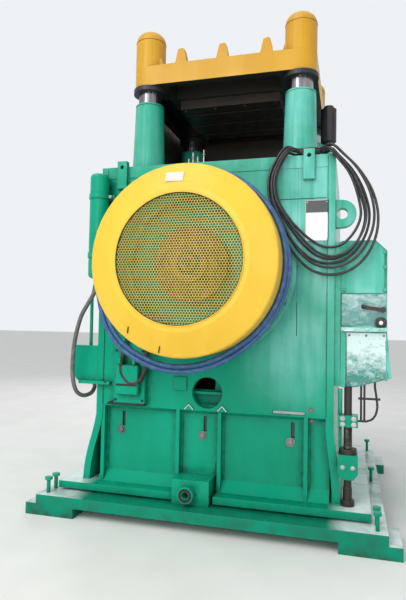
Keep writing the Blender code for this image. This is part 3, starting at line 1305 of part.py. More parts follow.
def lubricator():
    """The post on the deck and the oil reservoir that it carries."""
    low = DECK_TOP + SEAT_GAP
    foot = low + LUBE_FOOT_THICK
    place = (LUBE_X, LUBE_Y, 0)
    post = [(0, low), (LUBE_FOOT, low), (LUBE_FOOT, foot), (LUBE_POST, foot), (LUBE_POST, LUBE_LOW), (0, LUBE_LOW)]
    piece("lubricator_post", turned(post, "Z", place, SMALL_SIDES), green_enamel())
    bottom = LUBE_LOW + SEAT_GAP
    rim = LUBE_HIGH - LUBE_CAP_HEIGHT
    vessel = [
        (0, bottom), (LUBE_POST, bottom), (LUBE_RADIUS, bottom + LUBE_CAP_HEIGHT), (LUBE_RADIUS, rim),
        (LUBE_CAP, rim), (LUBE_CAP, LUBE_HIGH), (0, LUBE_HIGH),
    ]
    piece("lubricator_reservoir", turned(vessel, "Z", place, 20), blue_enamel())


def blue_hose_coil():
    """The blue hose wound twice round, resting on the guard's drum and hanging lower at the left."""
    low = BLUE_COIL_Y - BLUE_COIL_WIDTH / 2
    high = low + BLUE_COIL_WIDTH
    degrees, reaches = zip(*BLUE_COIL_ROUTE)
    outside, inside = [], []
    for step in range(FINE_SIDES):
        angle = 360 * (step + 0.5) / FINE_SIDES
        reach = float(numpy.interp(angle if angle <= 180 else angle - 360, degrees, reaches))
        along = (math.cos(math.radians(angle)), math.sin(math.radians(angle)))
        for points, radius in ((outside, reach), (inside, max(SEAT_GAP, reach - 4 * HOSE_RADIUS))):
            points.append(tuple((GUARD_RADIUS + radius) * share for share in along))
    lift = [[(x, z + CRANK_Z) for x, z in points] for points in (outside, inside)]
    form = cut(prism(lift[0], "Y", low, high), prism(lift[1], "Y", low - OVERRUN, high + OVERRUN))
    piece("blue_hose_coil", form, hose_cover("blue_rubber", (0.05, 0.17, 0.42)))


def cable_coil():
    """The black cable coiled over the right hook plate and hanging in front of the frame."""
    behind = FRONT_Y + CABLE_BUNDLE + OVERRUN + CABLE_SLACK
    front = FRONT_Y - CABLE_BUNDLE - CABLE_SLACK
    top = DECK_TOP + CABLE_BUNDLE + CABLE_SLACK
    edge_y = FRONT_Y - CABLE_BUNDLE * 0.9
    edge_z = DECK_TOP + CABLE_BUNDLE * 0.9
    route = [
        (0.550, behind, top), (0.485, behind, top), (0.432, edge_y, edge_z), (0.385, front, 2.000),
        (0.352, front, 1.905), (0.362, front, 1.790), (0.408, front, 1.690), (0.462, front, 1.600),
        (0.525, front, 1.520), (0.600, front, 1.462), (0.690, front, 1.450), (0.775, front, 1.490),
        (0.838, front, 1.580), (0.862, front, 1.690), (0.838, front, 1.810), (0.785, front, 1.925),
        (0.718, front, 2.010), (0.665, edge_y, edge_z), (0.615, behind, top),
    ]
    tube("cable_coil", route, CABLE_BUNDLE, hose_cover("black_rubber", (0.02, 0.018, 0.018)), closed=True)


def clutch_hose():
    """The thick brown hose that loops down between the manifold's two ports."""
    y = PANEL_Y - SEAT_GAP - MANIFOLD_THICK - PORT_BLOCK_REACH / 2
    top = PORT_BLOCK_LOW - SEAT_GAP
    left, right = HOSE_PORT_X
    low = CLUTCH_HOSE_SAG_Z
    route = [
        (left, y, top), (left, y, 0.930), (left - 0.010, y, 0.870), (left - 0.008, y, 0.815),
        (left + 0.022, y, 0.772), (left + 0.062, y, low), (right - 0.040, y, 0.775), (right - 0.010, y, 0.825),
        (right, y, 0.880), (right, y, 0.935), (right, y, top),
    ]
    tube("clutch_hose", route, HOSE_RADIUS, hose_cover("brown_rubber", (0.09, 0.045, 0.03)))


def tank_lines():
    """The air pipe and the grey hose from the foot of the tank down to the side valve box."""
    start = TANK_LOW - SEAT_GAP
    end = VALVE_BOX_HIGH + SEAT_GAP
    pipe = [
        (-0.694, -0.750, start), (-0.694, -0.750, 1.335), (-0.710, -0.732, 1.300), (-0.742, -0.690, 1.255),
        (-0.757, -0.664, 1.205), (-0.758, -0.660, 1.100), (-0.758, -0.660, end),
    ]
    tube("air_pipe", pipe, PIPE_RADIUS, green_enamel())
    under = VALVE_BOX_LOW - SEAT_GAP
    hose = [
        (-0.660, -0.786, start), (-0.660, -0.786, 1.335), (-0.675, -0.792, 1.280), (-0.712, -0.800, 1.210),
        (-0.756, -0.800, 1.130), (-0.795, -0.790, 1.000), (-0.815, -0.776, 0.860), (-0.815, -0.765, 0.760),
        (-0.800, -0.748, 0.690), (-0.778, -0.700, 0.660), (-0.760, -0.640, 0.668), (-0.755, -0.607, 0.695),
        (-0.755, -0.605, 0.722), (-0.755, -0.605, under),
    ]
    tube("drain_hose", hose, HOSE_RADIUS, hose_cover("grey_rubber", (0.25, 0.25, 0.25)))


def lube_line():
    """The thin line that loops from the feed drive box down to the jack's clamp."""
    side = JACK_X + JACK_CLAMP_WIDTH / 2 + SEAT_GAP
    start_x = BOX_RIGHT - LINE_INSET
    keel_slope = BOX_KEEL_RISE / (BOX_RIGHT + BOX_KEEL_REACH - BOX_KEEL_X)
    top = BOX_LOW + (start_x - BOX_KEEL_X - LINE_RADIUS) * keel_slope - SEAT_GAP
    route = [
        (start_x, -0.620, top), (start_x, -0.620, 0.785), (0.908, -0.622, 0.730), (0.912, -0.630, 0.680),
        (0.902, -0.645, 0.640), (0.880, -0.665, 0.617), (0.855, -0.678, 0.610), (0.835, -0.680, 0.610),
        (side, -0.680, 0.610),
    ]
    tube("lube_line", route, LINE_RADIUS, hose_cover("black_rubber", (0.02, 0.018, 0.018)))


def build():
    clear_scene()
    middle = bpy.data.objects.new("press_middle", None)
    bpy.context.collection.objects.link(middle)
    middle.location = (0, PRESS_Y, 0)
    base_plate()
    bed_frame()
    drain_stub()
    bolster_plate()
    for corner, (x, y) in POST_PLACES.items():
        guide_sleeve(corner, x, y)
        guide_bush(corner, x, y)
        guide_post(corner, x, y)
        post_cap(corner, x, y)
    crown()
    ram_plate()
    yoke_crosshead()
    counterbalance()
    crankshaft()
    slide_block()
    for name, side in (("front", -1), ("rear", 1)):
        bearing_hanger(name, side)
        main_bush(name, side)
    quill()
    flywheel()
    clutch_hub()
    flywheel_guard()
    guard_mesh()
    rear_cover()
    rear_guard()
    valve_manifold()
    side_valve_box()
    air_tank()
    feed_drive_box()
    feed_box_cover()
    control_lever()
    selector_knob()
    jack_screw()
    jack_block()
    jack_collar()
    jack_clamp()
    lubricator()
    blue_hose_coil()
    cable_coil()
    clutch_hose()
    tank_lines()
    lube_line()


build()
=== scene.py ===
"""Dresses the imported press: its paint, steel and rubber, the perforated screen, fasteners, seams and hoses."""
import json
import math
import random
from itertools import product

import bmesh
import bpy
from mathutils import Matrix, Vector


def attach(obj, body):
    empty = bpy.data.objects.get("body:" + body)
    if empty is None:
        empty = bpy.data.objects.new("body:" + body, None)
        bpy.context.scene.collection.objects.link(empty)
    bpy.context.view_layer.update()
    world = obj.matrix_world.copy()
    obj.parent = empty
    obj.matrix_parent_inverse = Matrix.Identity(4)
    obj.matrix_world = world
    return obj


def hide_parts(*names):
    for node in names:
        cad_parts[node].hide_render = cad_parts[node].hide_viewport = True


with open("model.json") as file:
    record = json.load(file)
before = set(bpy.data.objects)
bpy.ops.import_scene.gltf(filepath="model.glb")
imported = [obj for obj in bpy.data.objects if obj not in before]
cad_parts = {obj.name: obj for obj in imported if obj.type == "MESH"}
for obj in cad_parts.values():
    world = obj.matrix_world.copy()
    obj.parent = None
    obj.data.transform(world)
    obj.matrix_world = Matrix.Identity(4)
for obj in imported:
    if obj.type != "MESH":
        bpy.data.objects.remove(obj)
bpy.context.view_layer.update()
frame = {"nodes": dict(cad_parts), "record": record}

# Places below are counted from the middle of the four posts, as in the part's source.
PRESS_Y = 0.2
POST_X = 0.478
POST_Y = 0.48
DECK_Z = 2.04
DECK_FACE = DECK_Z + 0.0005
AXIS_Z = 1.405
GUARD_RADIUS = 0.4635
SCREEN_Y = -1.2937
HOSE_Y = -1.1
WALL_Y = -0.7
PANEL_Y = -0.697
SKIRT_Y = -0.652
RIB_Y = -0.6525
RIB_X = (-0.645, -0.178, 0.068, 0.545)
BASE_Z = 0.17
BASE_TOP = 0.185
LEDGE_LOW = 0.16
LEDGE_HIGH = 0.6
CROWN_INSIDE = 0.53
CROWN_WEB_Z = 2.7125
COLLAR_LOW = 2.5615
NUT_HIGH = 1.3525
KNOB_X = 0.925
KNOB_Z = 1.128
FORWARD, BACKWARD, UP, DOWN = (0, -1, 0), (0, 1, 0), (0, 0, 1), (0, 0, -1)

chance = random.Random(7)


def at(x, y, z):
    """A place counted from the middle of the posts, in the row frame."""
    return Vector((x, y + PRESS_Y, z))


# Looks


def shaded(color, share):
    """A darker kind of a colour."""
    return tuple(share * part for part in color)


class Look:
    """One procedural material, built node by node."""

    def __init__(self, name, color, roughness, metallic=0.0, coat=0.0, coat_roughness=0.05, specular=0.5):
        self.material = bpy.data.materials.new(name)
        self.material.use_nodes = True
        self.tree = self.material.node_tree
        self.shader = self.tree.nodes["Principled BSDF"]
        values = {"Base Color": (*color, 1.0), "Roughness": roughness, "Metallic": metallic, "Coat Weight": coat,
                  "Coat Roughness": coat_roughness, "Specular IOR Level": specular}
        for key, value in values.items():
            self.set(key, value)
        self.coords = self.tree.nodes.new("ShaderNodeTexCoord").outputs["Object"]

    def feed(self, socket, value):
        if isinstance(value, bpy.types.NodeSocket):
            self.tree.links.new(value, socket)
        else:
            socket.default_value = value

    def node(self, kind, inputs, output=0, **settings):
        made = self.tree.nodes.new("ShaderNode" + kind)
        for key, value in settings.items():
            setattr(made, key, value)
        for key, value in inputs.items():
            self.feed(made.inputs[key], value)
        return made.outputs[output]

    def noise(self, scale, detail=3.0, stretch=None, roughness=0.5):
        vector = self.node("Mapping", {"Vector": self.coords, "Scale": stretch}) if stretch else self.coords
        return self.node("TexNoise", {"Vector": vector, "Scale": scale, "Detail": detail, "Roughness": roughness})

    def span(self, value, low, high, to_low=0.0, to_high=1.0):
        inputs = {"Value": value, "From Min": low, "From Max": high, "To Min": to_low, "To Max": to_high}
        return self.node("MapRange", inputs)

    def math(self, operation, first, second=0.0):
        return self.node("Math", {0: first, 1: second}, operation=operation)

    def times(self, first, *others):
        for other in others:
            first = self.math("MULTIPLY", first, other)
        return first

    def mix(self, share, first, second):
        made = self.tree.nodes.new("ShaderNodeMix")
        made.data_type = "RGBA"
        self.feed(made.inputs[0], share)
        for socket, value in ((made.inputs[6], first), (made.inputs[7], second)):
            self.feed(socket, value if isinstance(value, bpy.types.NodeSocket) else (*value, 1.0))
        return made.outputs[2]

    def part(self, vector, index):
        return self.node("SeparateXYZ", {"Vector": vector}, output=index)

    def across(self):
        return self.part(self.coords, 0)

    def height(self):
        return self.part(self.coords, 2)

    def normal(self):
        return self.node("NewGeometry", {}, output=1)

    def upward(self):
        """1 on faces that look up, 0 on walls and -1 on faces that look down."""
        return self.part(self.normal(), 2)

    def edge(self, radius):
        """0 on flat ground and up to about 1 on edges of that radius, together with the rounded normal."""
        rounded = self.node("Bevel", {"Radius": radius}, samples=4)
        facing = self.node("VectorMath", {0: rounded, 1: self.normal()}, output=1, operation="DOT_PRODUCT")
        return self.span(facing, 0.995, 0.8), rounded

    def crevice(self, distance):
        return self.node("AmbientOcclusion", {"Distance": distance}, output=1, samples=4)

    def bump(self, height, distance, strength=1.0, normal=None):
        inputs = {"Height": height, "Distance": distance, "Strength": strength}
        if normal is not None:
            inputs["Normal"] = normal
        return self.node("Bump", inputs)

    def crown_underside_shade(self):
        """Painted shade: 1 on the crown's underside and on the low faces between its beams, which turn near black."""
        offset = self.node("VectorMath", {0: self.coords, 1: (0.0, PRESS_Y, 0.0)}, operation="SUBTRACT")
        flat = self.node("VectorMath", {0: self.normal(), 1: (1, 1, 0.0)}, operation="MULTIPLY")
        inward = self.node("VectorMath", {0: offset, 1: flat}, output=1, operation="DOT_PRODUCT")
        spread = self.node("VectorMath", {0: offset}, operation="ABSOLUTE")
        farther = self.math("MAXIMUM", self.part(spread, 0), self.part(spread, 1))
        between = self.math("LESS_THAN", farther, CROWN_INSIDE)
        low = self.math("LESS_THAN", self.height(), CROWN_WEB_Z)
        sides = self.times(self.math("MAXIMUM", self.span(inward, -0.02, -0.1), between), low)
        return self.math("MAXIMUM", self.span(self.upward(), -0.35, -0.75), sides)

    def painted_sheen(self):
        """Painted sheen: pale streaks of reflected light on the right and round the posts."""
        height = self.height()
        right = self.times(self.span(self.across(), 0.12, 0.48), self.span(height, 0.62, 0.88))
        high = self.times(self.span(height, 1.95, 2.1), 0.45)
        streaks = self.span(self.noise(13.0, 5.0, (1, 1, 0.1)), 0.36, 0.64, 0.25, 1.0)
        clouds = self.span(self.noise(3.2, 5.0), 0.34, 0.6, 0.4, 1.0)
        return self.times(self.math("MAXIMUM", right, high), 0.88, self.times(streaks, clouds))

    def base_top_glare(self):
        """Painted reflection: 1 in patches on the flat top at the base's sides, where it glares pale."""
        low = self.math("LESS_THAN", self.height(), BASE_TOP)
        sides = self.span(self.math("ABSOLUTE", self.across()), 0.66, 0.76)
        patches = self.span(self.noise(5.5, 6.0), 0.3, 0.5, 0.45, 1.0)
        return self.times(self.span(self.upward(), 0.97, 0.99), low, sides, patches)

    def ledge_shade(self):
        """Painted shade on the sloping ledges low on the frame, which face the light from above."""
        facing, height = self.upward(), self.height()
        sloping = self.times(self.span(facing, 0.15, 0.35), self.span(facing, 0.97, 0.9))
        low = self.times(self.math("LESS_THAN", height, LEDGE_HIGH), self.math("GREATER_THAN", height, LEDGE_LOW))
        return self.times(sloping, low, self.span(self.noise(9.0, 5.0), 0.2, 0.6, 0.75, 1.0))

    def set(self, name, value):
        self.feed(self.shader.inputs[name], value)


def enamel(name, color, shade, worn, gloss, wave, rust_share, crevice_shade, coat=0.04, specular=0.3, shaded_underside=False,
           painted_frame_light=False):
    """Brushed and sprayed paint: waves and orange peel in the gloss, painted shade in corners and crevices, chips on
    edges.
    """
    look = Look(name, color, gloss, coat=coat, coat_roughness=0.1, specular=specular)
    broad = look.span(look.noise(1.7, 4.0), 0.35, 0.65)
    body = look.mix(broad, color, shade)
    brushed = look.span(look.noise(9.0, 3.0, (1, 1, 0.14)), 0.45, 0.7, 0.0, 0.3)
    body = look.mix(brushed, body, worn)
    # Painted shade: near black in crevices and corners, found by ambient occlusion and broken by specks.
    crevice_shadow = look.span(look.crevice(0.05), 0.45, 0.95, crevice_shade, 0.0)
    specks = look.span(look.noise(30.0, 5.0), 0.42, 0.62, 0.35, 1.0)
    body = look.mix(look.times(crevice_shadow, specks), body, (0.012, 0.011, 0.009))
    # Painted shade under the crown, near black.
    if shaded_underside:
        body = look.mix(look.crown_underside_shade(), body, (0.024, 0.022, 0.019))
    shaded_ledge = 0.0
    if painted_frame_light:
        # Painted sheen: pale streaks of reflection on the frame.
        body = look.mix(look.painted_sheen(), body, (0.25, 0.68, 0.62))
        # Painted shade on the sloping ledges: a darker copy of the paint, with a rougher finish there.
        shaded_ledge = look.ledge_shade()
        body = look.mix(shaded_ledge, body, shaded(color, 0.9))
        # Painted shade: darker toward the foot, down to a half-bright copy of the paint.
        body = look.mix(look.span(look.height(), 0.2, 0.1, 0.0, 0.55), body, shaded(color, 0.5))
        # Painted reflection: pale glare on the base's top at its sides.
        body = look.mix(look.base_top_glare(), body, (0.74, 0.83, 0.82))
    low = look.span(look.height(), 0.16, 0.0, 0.0, 0.55)
    dust = look.times(low, look.span(look.noise(14.0, 6.0), 0.4, 0.62))
    body = look.mix(dust, body, (0.035, 0.03, 0.022))
    rim, rounded = look.edge(0.004)
    chips = look.times(rim, look.span(look.noise(46.0, 5.0, None, 0.7), 0.56, 0.62, 0.0, rust_share))
    spots = look.span(look.noise(21.0, 8.0, None, 0.65), 0.715, 0.73, 0.0, rust_share)
    bare = look.math("MAXIMUM", chips, spots)
    body = look.mix(bare, body, look.mix(look.noise(60.0), (0.05, 0.03, 0.02), (0.16, 0.075, 0.035)))
    look.set("Base Color", body)
    rough = look.math("ADD", look.times(bare, 0.4), look.times(shaded_ledge, 0.55))
    look.set("Roughness", look.math("ADD", look.span(look.noise(6.0, 5.0), 0.3, 0.7, gloss, gloss + 0.14), rough))
    peel = look.bump(look.noise(160.0, 2.0), 0.0004, 0.35, rounded)
    waves = look.bump(look.noise(wave, 2.0), 0.012, 0.3, peel)
    look.set("Normal", look.bump(bare, 0.0006, 1.0, waves))
    return look.material


def steel(name, color, roughness, oil, grain, stretch=(1, 1, 0.05)):
    """Ground metal with a fine grain and a film of oil that has gathered dust."""
    look = Look(name, color, roughness, 1.0)
    film = look.span(look.noise(5.0, 6.0, (1, 1, 0.6)), 0.42, 0.66, 0.0, oil)
    body = look.mix(film, color, shaded(color, 0.25))
    scratch = look.noise(grain, 4.0, stretch)
    look.set("Base Color", look.mix(look.span(scratch, 0.3, 0.7, 0.0, 0.35), body, shaded(color, 0.6)))
    look.set("Roughness", look.math("ADD", look.span(scratch, 0.3, 0.7, roughness, roughness + 0.15),
                                    look.times(film, 0.15)))
    _, rounded = look.edge(0.0015)
    look.set("Normal", look.bump(scratch, 0.0002, 0.4, rounded))
    return look.material


def black_iron(name, color=(0.042, 0.039, 0.037), gloss=0.42):
    """Dark oiled iron, pitted, with paler rubs on its edges."""
    look = Look(name, color, gloss, 0.65)
    stain = look.span(look.noise(7.0, 6.0), 0.4, 0.68)
    body = look.mix(stain, color, (0.055, 0.04, 0.03))
    rim, rounded = look.edge(0.003)
    rub = look.times(rim, look.span(look.noise(25.0, 4.0), 0.45, 0.6, 0.0, 0.7))
    look.set("Base Color", look.mix(rub, body, (0.3, 0.29, 0.28)))
    look.set("Roughness", look.span(look.noise(18.0, 5.0), 0.3, 0.7, gloss - 0.08, gloss + 0.2))
    look.set("Normal", look.bump(look.noise(90.0, 5.0), 0.0008, 0.35, rounded))
    return look.material


def rust(name):
    """Dry brown rust, patched and pitted, with paler specks."""
    look = Look(name, (0.22, 0.09, 0.035), 0.8, 0.15)
    patch = look.span(look.noise(11.0, 7.0, None, 0.65), 0.38, 0.64)
    body = look.mix(patch, (0.33, 0.135, 0.05), (0.13, 0.055, 0.028))
    look.set("Base Color", look.mix(look.span(look.noise(70.0, 4.0), 0.5, 0.7, 0.0, 0.6), body, (0.42, 0.21, 0.09)))
    look.set("Normal", look.bump(look.noise(120.0, 6.0), 0.0012, 0.6))
    return look.material


def rubber(name, color, gloss, grain=0.5):
    """Hose or cable cover with scuffs and settled dust."""
    look = Look(name, color, gloss)
    scuff = look.span(look.noise(35.0, 6.0), 0.48, 0.66, 0.0, 0.55)
    pale = tuple(min(1.0, part * 1.7 + 0.03) for part in color)
    look.set("Base Color", look.mix(scuff, color, pale))
    look.set("Roughness", look.span(look.noise(22.0, 4.0), 0.3, 0.7, gloss - 0.1, gloss + 0.2))
    look.set("Normal", look.bump(look.noise(260.0, 3.0), 0.0004, grain))
    return look.material


GREEN = enamel("green_enamel_look", (0.001, 0.345, 0.205), (0.001, 0.27, 0.155), (0.004, 0.43, 0.28),
               gloss=0.2, wave=3.2, rust_share=0.7, crevice_shade=0.75, coat=0.02, specular=0.15, painted_frame_light=True)
CROWN_YELLOW = enamel("crown_enamel_look", (0.625, 0.335, 0.02), (0.545, 0.275, 0.015), (0.7, 0.41, 0.045),
                      gloss=0.34, wave=5.0, rust_share=0.7, crevice_shade=0.7, shaded_underside=True)
GUARD_YELLOW = enamel("guard_enamel_look", (0.8, 0.51, 0.042), (0.75, 0.45, 0.032), (0.84, 0.58, 0.09),
                      gloss=0.36, wave=6.0, rust_share=0.55, crevice_shade=0.45)
GROUND_STEEL = steel("ground_steel_look", (0.5, 0.48, 0.46), 0.24, 0.75, 120.0)
BRONZE = steel("bronze_look", (0.58, 0.36, 0.15), 0.3, 0.5, 90.0)
BRIGHT = steel("bright_fastener_look", (0.55, 0.54, 0.52), 0.34, 0.55, 200.0, (1, 1, 1))
# Painted light: a paler, greener copy of the guard yellow, brightened against the shade of the screen's recess.
BRIGHTENED_SCREEN_YELLOW = enamel("screen_brightened_enamel_look", (0.88, 0.78, 0.17), (0.8, 0.7, 0.14), (0.94, 0.86, 0.26),
                       gloss=0.4, wave=6.0, rust_share=0.3, crevice_shade=0.25)
IRON = black_iron("black_iron_look")
NAVY = black_iron("navy_paint_look", (0.02, 0.026, 0.048), 0.36)
RUST = rust("hub_rust_look")
BLUE_RUBBER = rubber("blue_rubber_look", (0.026, 0.09, 0.225), 0.36)
BLACK_RUBBER = rubber("black_rubber_look", (0.016, 0.014, 0.015), 0.38)
BROWN_RUBBER = rubber("brown_rubber_look", (0.026, 0.017, 0.013), 0.45, grain=1.0)
GREY_RUBBER = rubber("grey_rubber_look", (0.115, 0.112, 0.11), 0.45)
WORN_STEEL = steel("worn_fastener_look", (0.26, 0.25, 0.24), 0.36, 0.6, 200.0, (1, 1, 1))
SHAFT_IRON = black_iron("shaft_iron_look", (0.1, 0.065, 0.045), 0.5)
# Near black for seams, slits and gaps, and for strips of painted shadow.
DARK = Look("dark_gap_and_shadow_look", (0.01, 0.012, 0.01), 0.7)
DARK.set("Base Color", DARK.mix(DARK.noise(40.0), (0.006, 0.007, 0.006), (0.016, 0.02, 0.016)))
DARK = DARK.material


def post_look():
    """The guide posts: bright ground steel, and black iron for the collar and the nut."""
    look = Look("guide_post_look", (0.5, 0.48, 0.46), 0.25, 1.0)
    height = look.height()
    collar = look.math("GREATER_THAN", height, COLLAR_LOW)
    dark = look.math("MAXIMUM", collar, look.math("LESS_THAN", height, NUT_HIGH))
    scratch = look.noise(110.0, 4.0, (1, 1, 0.03))
    film = look.span(look.noise(6.0, 6.0, (1, 1, 0.5)), 0.38, 0.66, 0.0, 0.8)
    bright = look.mix(film, (0.37, 0.36, 0.38), (0.13, 0.12, 0.12))
    look.set("Base Color", look.mix(dark, bright, (0.03, 0.03, 0.038)))
    look.set("Metallic", look.span(dark, 0, 1, 1.0, 0.5))
    look.set("Roughness", look.math("ADD", look.span(scratch, 0.3, 0.7, 0.18, 0.34), look.times(dark, 0.2)))
    _, rounded = look.edge(0.002)
    look.set("Normal", look.bump(scratch, 0.0002, 0.4, rounded))
    return look.material


def plain_plate_look(name, color, gloss):
    """A blank plate, a little dusty and not quite flat."""
    look = Look(name, color, gloss)
    dust = look.span(look.noise(18.0, 5.0), 0.45, 0.68, 0.0, 0.28)
    look.set("Base Color", look.mix(dust, color, shaded(color, 0.55)))
    look.set("Normal", look.bump(look.noise(40.0, 2.0), 0.001, 0.15))
    return look.material


WHITE_PLATE = plain_plate_look("white_plate_look", (0.8, 0.82, 0.8), 0.22)
DARK_PLATE = plain_plate_look("dark_plate_look", (0.035, 0.04, 0.042), 0.35)
GREY_PLATE = plain_plate_look("grey_plate_look", (0.42, 0.45, 0.44), 0.3)
PINK_PLATE = plain_plate_look("faded_plate_look", (0.8, 0.6, 0.52), 0.35)
PALE_GREEN = plain_plate_look("pale_green_plate_look", (0.045, 0.42, 0.3), 0.15)


def glare_mottled_enamel(name, low, high, pale, base, share):
    """Glossy green paint with painted reflections: pale mottled glare in its colour, more of it toward its top."""
    look = Look(name, base, 0.12, coat=0.6, coat_roughness=0.06)
    rise = look.span(look.height(), low, high, 0.0, share)
    mottle = look.noise(17.0, 8.0, (1.0, 1.0, 1.5), 0.66)
    fine = look.noise(75.0, 4.0, (1.0, 1.0, 1.8), 0.6)
    glare_cloud = look.math("ADD", look.math("ADD", mottle, rise), look.times(fine, 0.3))
    look.set("Base Color", look.mix(look.span(glare_cloud, 0.7, 1.02), base, pale))
    look.set("Roughness", look.span(mottle, 0.3, 0.7, 0.08, 0.26))
    look.set("Normal", look.bump(mottle, 0.006, 0.5, look.bump(fine, 0.001, 0.5)))
    return look.material


# Painted reflection: pale mottled glare on the feed box's cover, band and ledge.
COVER_GREEN = glare_mottled_enamel("cover_glare_enamel_look", 0.8, 1.02, (0.66, 0.82, 0.8), (0.02, 0.23, 0.19), 0.42)
BAND_GREEN = glare_mottled_enamel("band_glare_enamel_look", 1.11, 1.28, (0.5, 0.68, 0.67), (0.05, 0.26, 0.23), 0.22)
GLARE_PLATE = glare_mottled_enamel("ledge_glare_enamel_look", 1.00, 1.1, (0.62, 0.8, 0.77), (0.08, 0.42, 0.34), 0.2)

# The looks of each material slot. The first is that of the CAD nodes.
LOOKS = {
    "green_enamel": (GREEN, PALE_GREEN, BAND_GREEN, GLARE_PLATE), "dark_steel": (IRON, DARK), "bronze": (BRONZE,),
    "yellow_enamel": (CROWN_YELLOW, GUARD_YELLOW, BRIGHTENED_SCREEN_YELLOW), "rusty_iron": (RUST,), "blue_enamel": (NAVY,),
    "machined_steel": (GROUND_STEEL, BRIGHT, WORN_STEEL), "blue_rubber": (BLUE_RUBBER,),
    "grey_rubber": (GREY_RUBBER, WHITE_PLATE, GREY_PLATE, DARK_PLATE, PINK_PLATE),
    "black_rubber": (BLACK_RUBBER,), "brown_rubber": (BROWN_RUBBER,),
}
OWN_LOOKS = {
    "flywheel_guard": GUARD_YELLOW, "guard_mesh": GUARD_YELLOW, "feed_box_cover": COVER_GREEN,
    "crankshaft": SHAFT_IRON,
}


def dress_nodes():
    """Gives each CAD node its look."""
    posts = post_look()
    for part in frame["record"]["subparts"]:
        name = part["node"]
        look = OWN_LOOKS.get(name, LOOKS[part["material_slot"]][0])
        if name.startswith("guide_post"):
            look = posts
        shown = frame["nodes"][name]
        shown.data.materials.clear()
        shown.data.materials.append(look)
        for face in shown.data.polygons:
            face.material_index = 0


# Shapes


def piece(name, data, look, body="bed"):
    """A piece with that look, which rides on a body."""
    data.materials.append(look)
    made = bpy.data.objects.new(name, data)
    bpy.context.collection.objects.link(made)
    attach(made, body)
    return made


def circle(sides):
    """Points on a circle of radius 1."""
    return [(math.cos(a), math.sin(a)) for a in (2 * math.pi * side / sides for side in range(sides))]


class Shape:
    """A mesh put together from turned, flat and boxed forms."""

    def __init__(self):
        self.bm = bmesh.new()

    def turned(self, profile, place, axis, sides=24, spin=0.0):
        """A form turned about an axis. Points are (radius, height), and a radius of 0 closes an end."""
        turn = Vector(axis).to_track_quat("Z", "Y").to_matrix() @ Matrix.Rotation(spin, 3, "Z")
        rings = []
        for radius, height in profile:
            if radius == 0:
                rings.append([self.bm.verts.new(Vector(place) + turn @ Vector((0, 0, height)))])
                continue
            points = [Vector((radius * u, radius * v, height)) for u, v in circle(sides)]
            rings.append([self.bm.verts.new(Vector(place) + turn @ point) for point in points])
        pairs = list(zip(rings, rings[1:]))
        if len(rings[0]) > 1 and len(rings[-1]) > 1:
            pairs.append((rings[-1], rings[0]))
        for first, second in pairs:
            for side in range(sides):
                after = (side + 1) % sides
                corners = [first[side % len(first)], first[after % len(first)],
                           second[after % len(second)], second[side % len(second)]]
                self.bm.faces.new(list(dict.fromkeys(corners)))
        return self

    def box(self, low, high, bevel=0.0):
        made = bmesh.ops.create_cube(self.bm, size=1.0)["verts"]
        size = Vector(high) - Vector(low)
        bmesh.ops.scale(self.bm, vec=size, verts=made)
        bmesh.ops.translate(self.bm, vec=(Vector(high) + Vector(low)) / 2, verts=made)
        if bevel:
            edges = list({edge for vert in made for edge in vert.link_edges})
            bmesh.ops.bevel(self.bm, geom=edges, offset=bevel, segments=2, affect="EDGES")

    def bolt(self, place, axis, size, washer=True):
        """A hexagon bolt head on a washer. Size is half the head's width across corners."""
        place = Vector(place)
        if washer:
            thick = 0.16 * size
            self.turned(rod(1.45 * size, thick), place, axis, 20)
            place = place + Vector(axis) * thick
        top = 0.72 * size
        spin = chance.uniform(0, math.pi / 3)
        self.turned([(0, 0), (size, 0), (size, 0.85 * top), (0.84 * size, top), (0, top)], place, axis, 6, spin)

    def screw(self, place, axis, size):
        """A socket cap screw with its round recess."""
        tall = 0.9 * size
        profile = [(0, tall * 0.45), (0.55 * size, tall * 0.5), (0.55 * size, tall), (0.9 * size, tall),
                   (size, 0.88 * tall), (size, 0), (0, 0)]
        self.turned(profile, place, axis, 18)

    def bead(self, points, radius, sides=6):
        """A weld or sealant bead along a line of points."""
        points = [Vector(point) for point in points]
        steps = []
        for start, end in zip(points, points[1:]):
            count = max(1, round((end - start).length / (radius * 2.2)))
            steps += [start.lerp(end, index / count) for index in range(count)]
        steps.append(points[-1])
        rings = []
        for index, point in enumerate(steps):
            ahead = steps[min(index + 1, len(steps) - 1)] - steps[max(index - 1, 0)]
            turn = ahead.to_track_quat("Z", "Y").to_matrix()
            swell = radius * chance.uniform(0.8, 1.15)
            places = [point + turn @ Vector((swell * u, swell * v, 0)) for u, v in circle(sides)]
            rings.append([self.bm.verts.new(place) for place in places])
        self.skin(rings)

    def skin(self, rings):
        """Faces from ring to ring of points, and over both ends."""
        count = len(rings[0])
        for first, second in zip(rings, rings[1:]):
            for side in range(count):
                after = (side + 1) % count
                self.bm.faces.new((first[side], first[after], second[after], second[side]))
        self.bm.faces.new(rings[0][::-1])
        self.bm.faces.new(rings[-1])

    def done(self, name, look, body="bed", slot=None, angle=35):
        """Turns the shape into a piece that rides on a body, smooth except at edges over that angle."""
        bmesh.ops.recalc_face_normals(self.bm, faces=self.bm.faces)
        mesh = bpy.data.meshes.new(name)
        self.bm.to_mesh(mesh)
        self.bm.free()
        mesh.shade_smooth()
        mesh.set_sharp_from_angle(angle=math.radians(angle))
        return piece(name, mesh, look, body)


def rod(radius, tall):
    """The half section of a plain rod."""
    return [(0, 0), (radius, 0), (radius, tall), (0, tall)]


def ring(inner, outer, tall):
    """The half section of a flat ring or a tube."""
    return [(inner, 0), (outer, 0), (outer, tall), (inner, tall)]


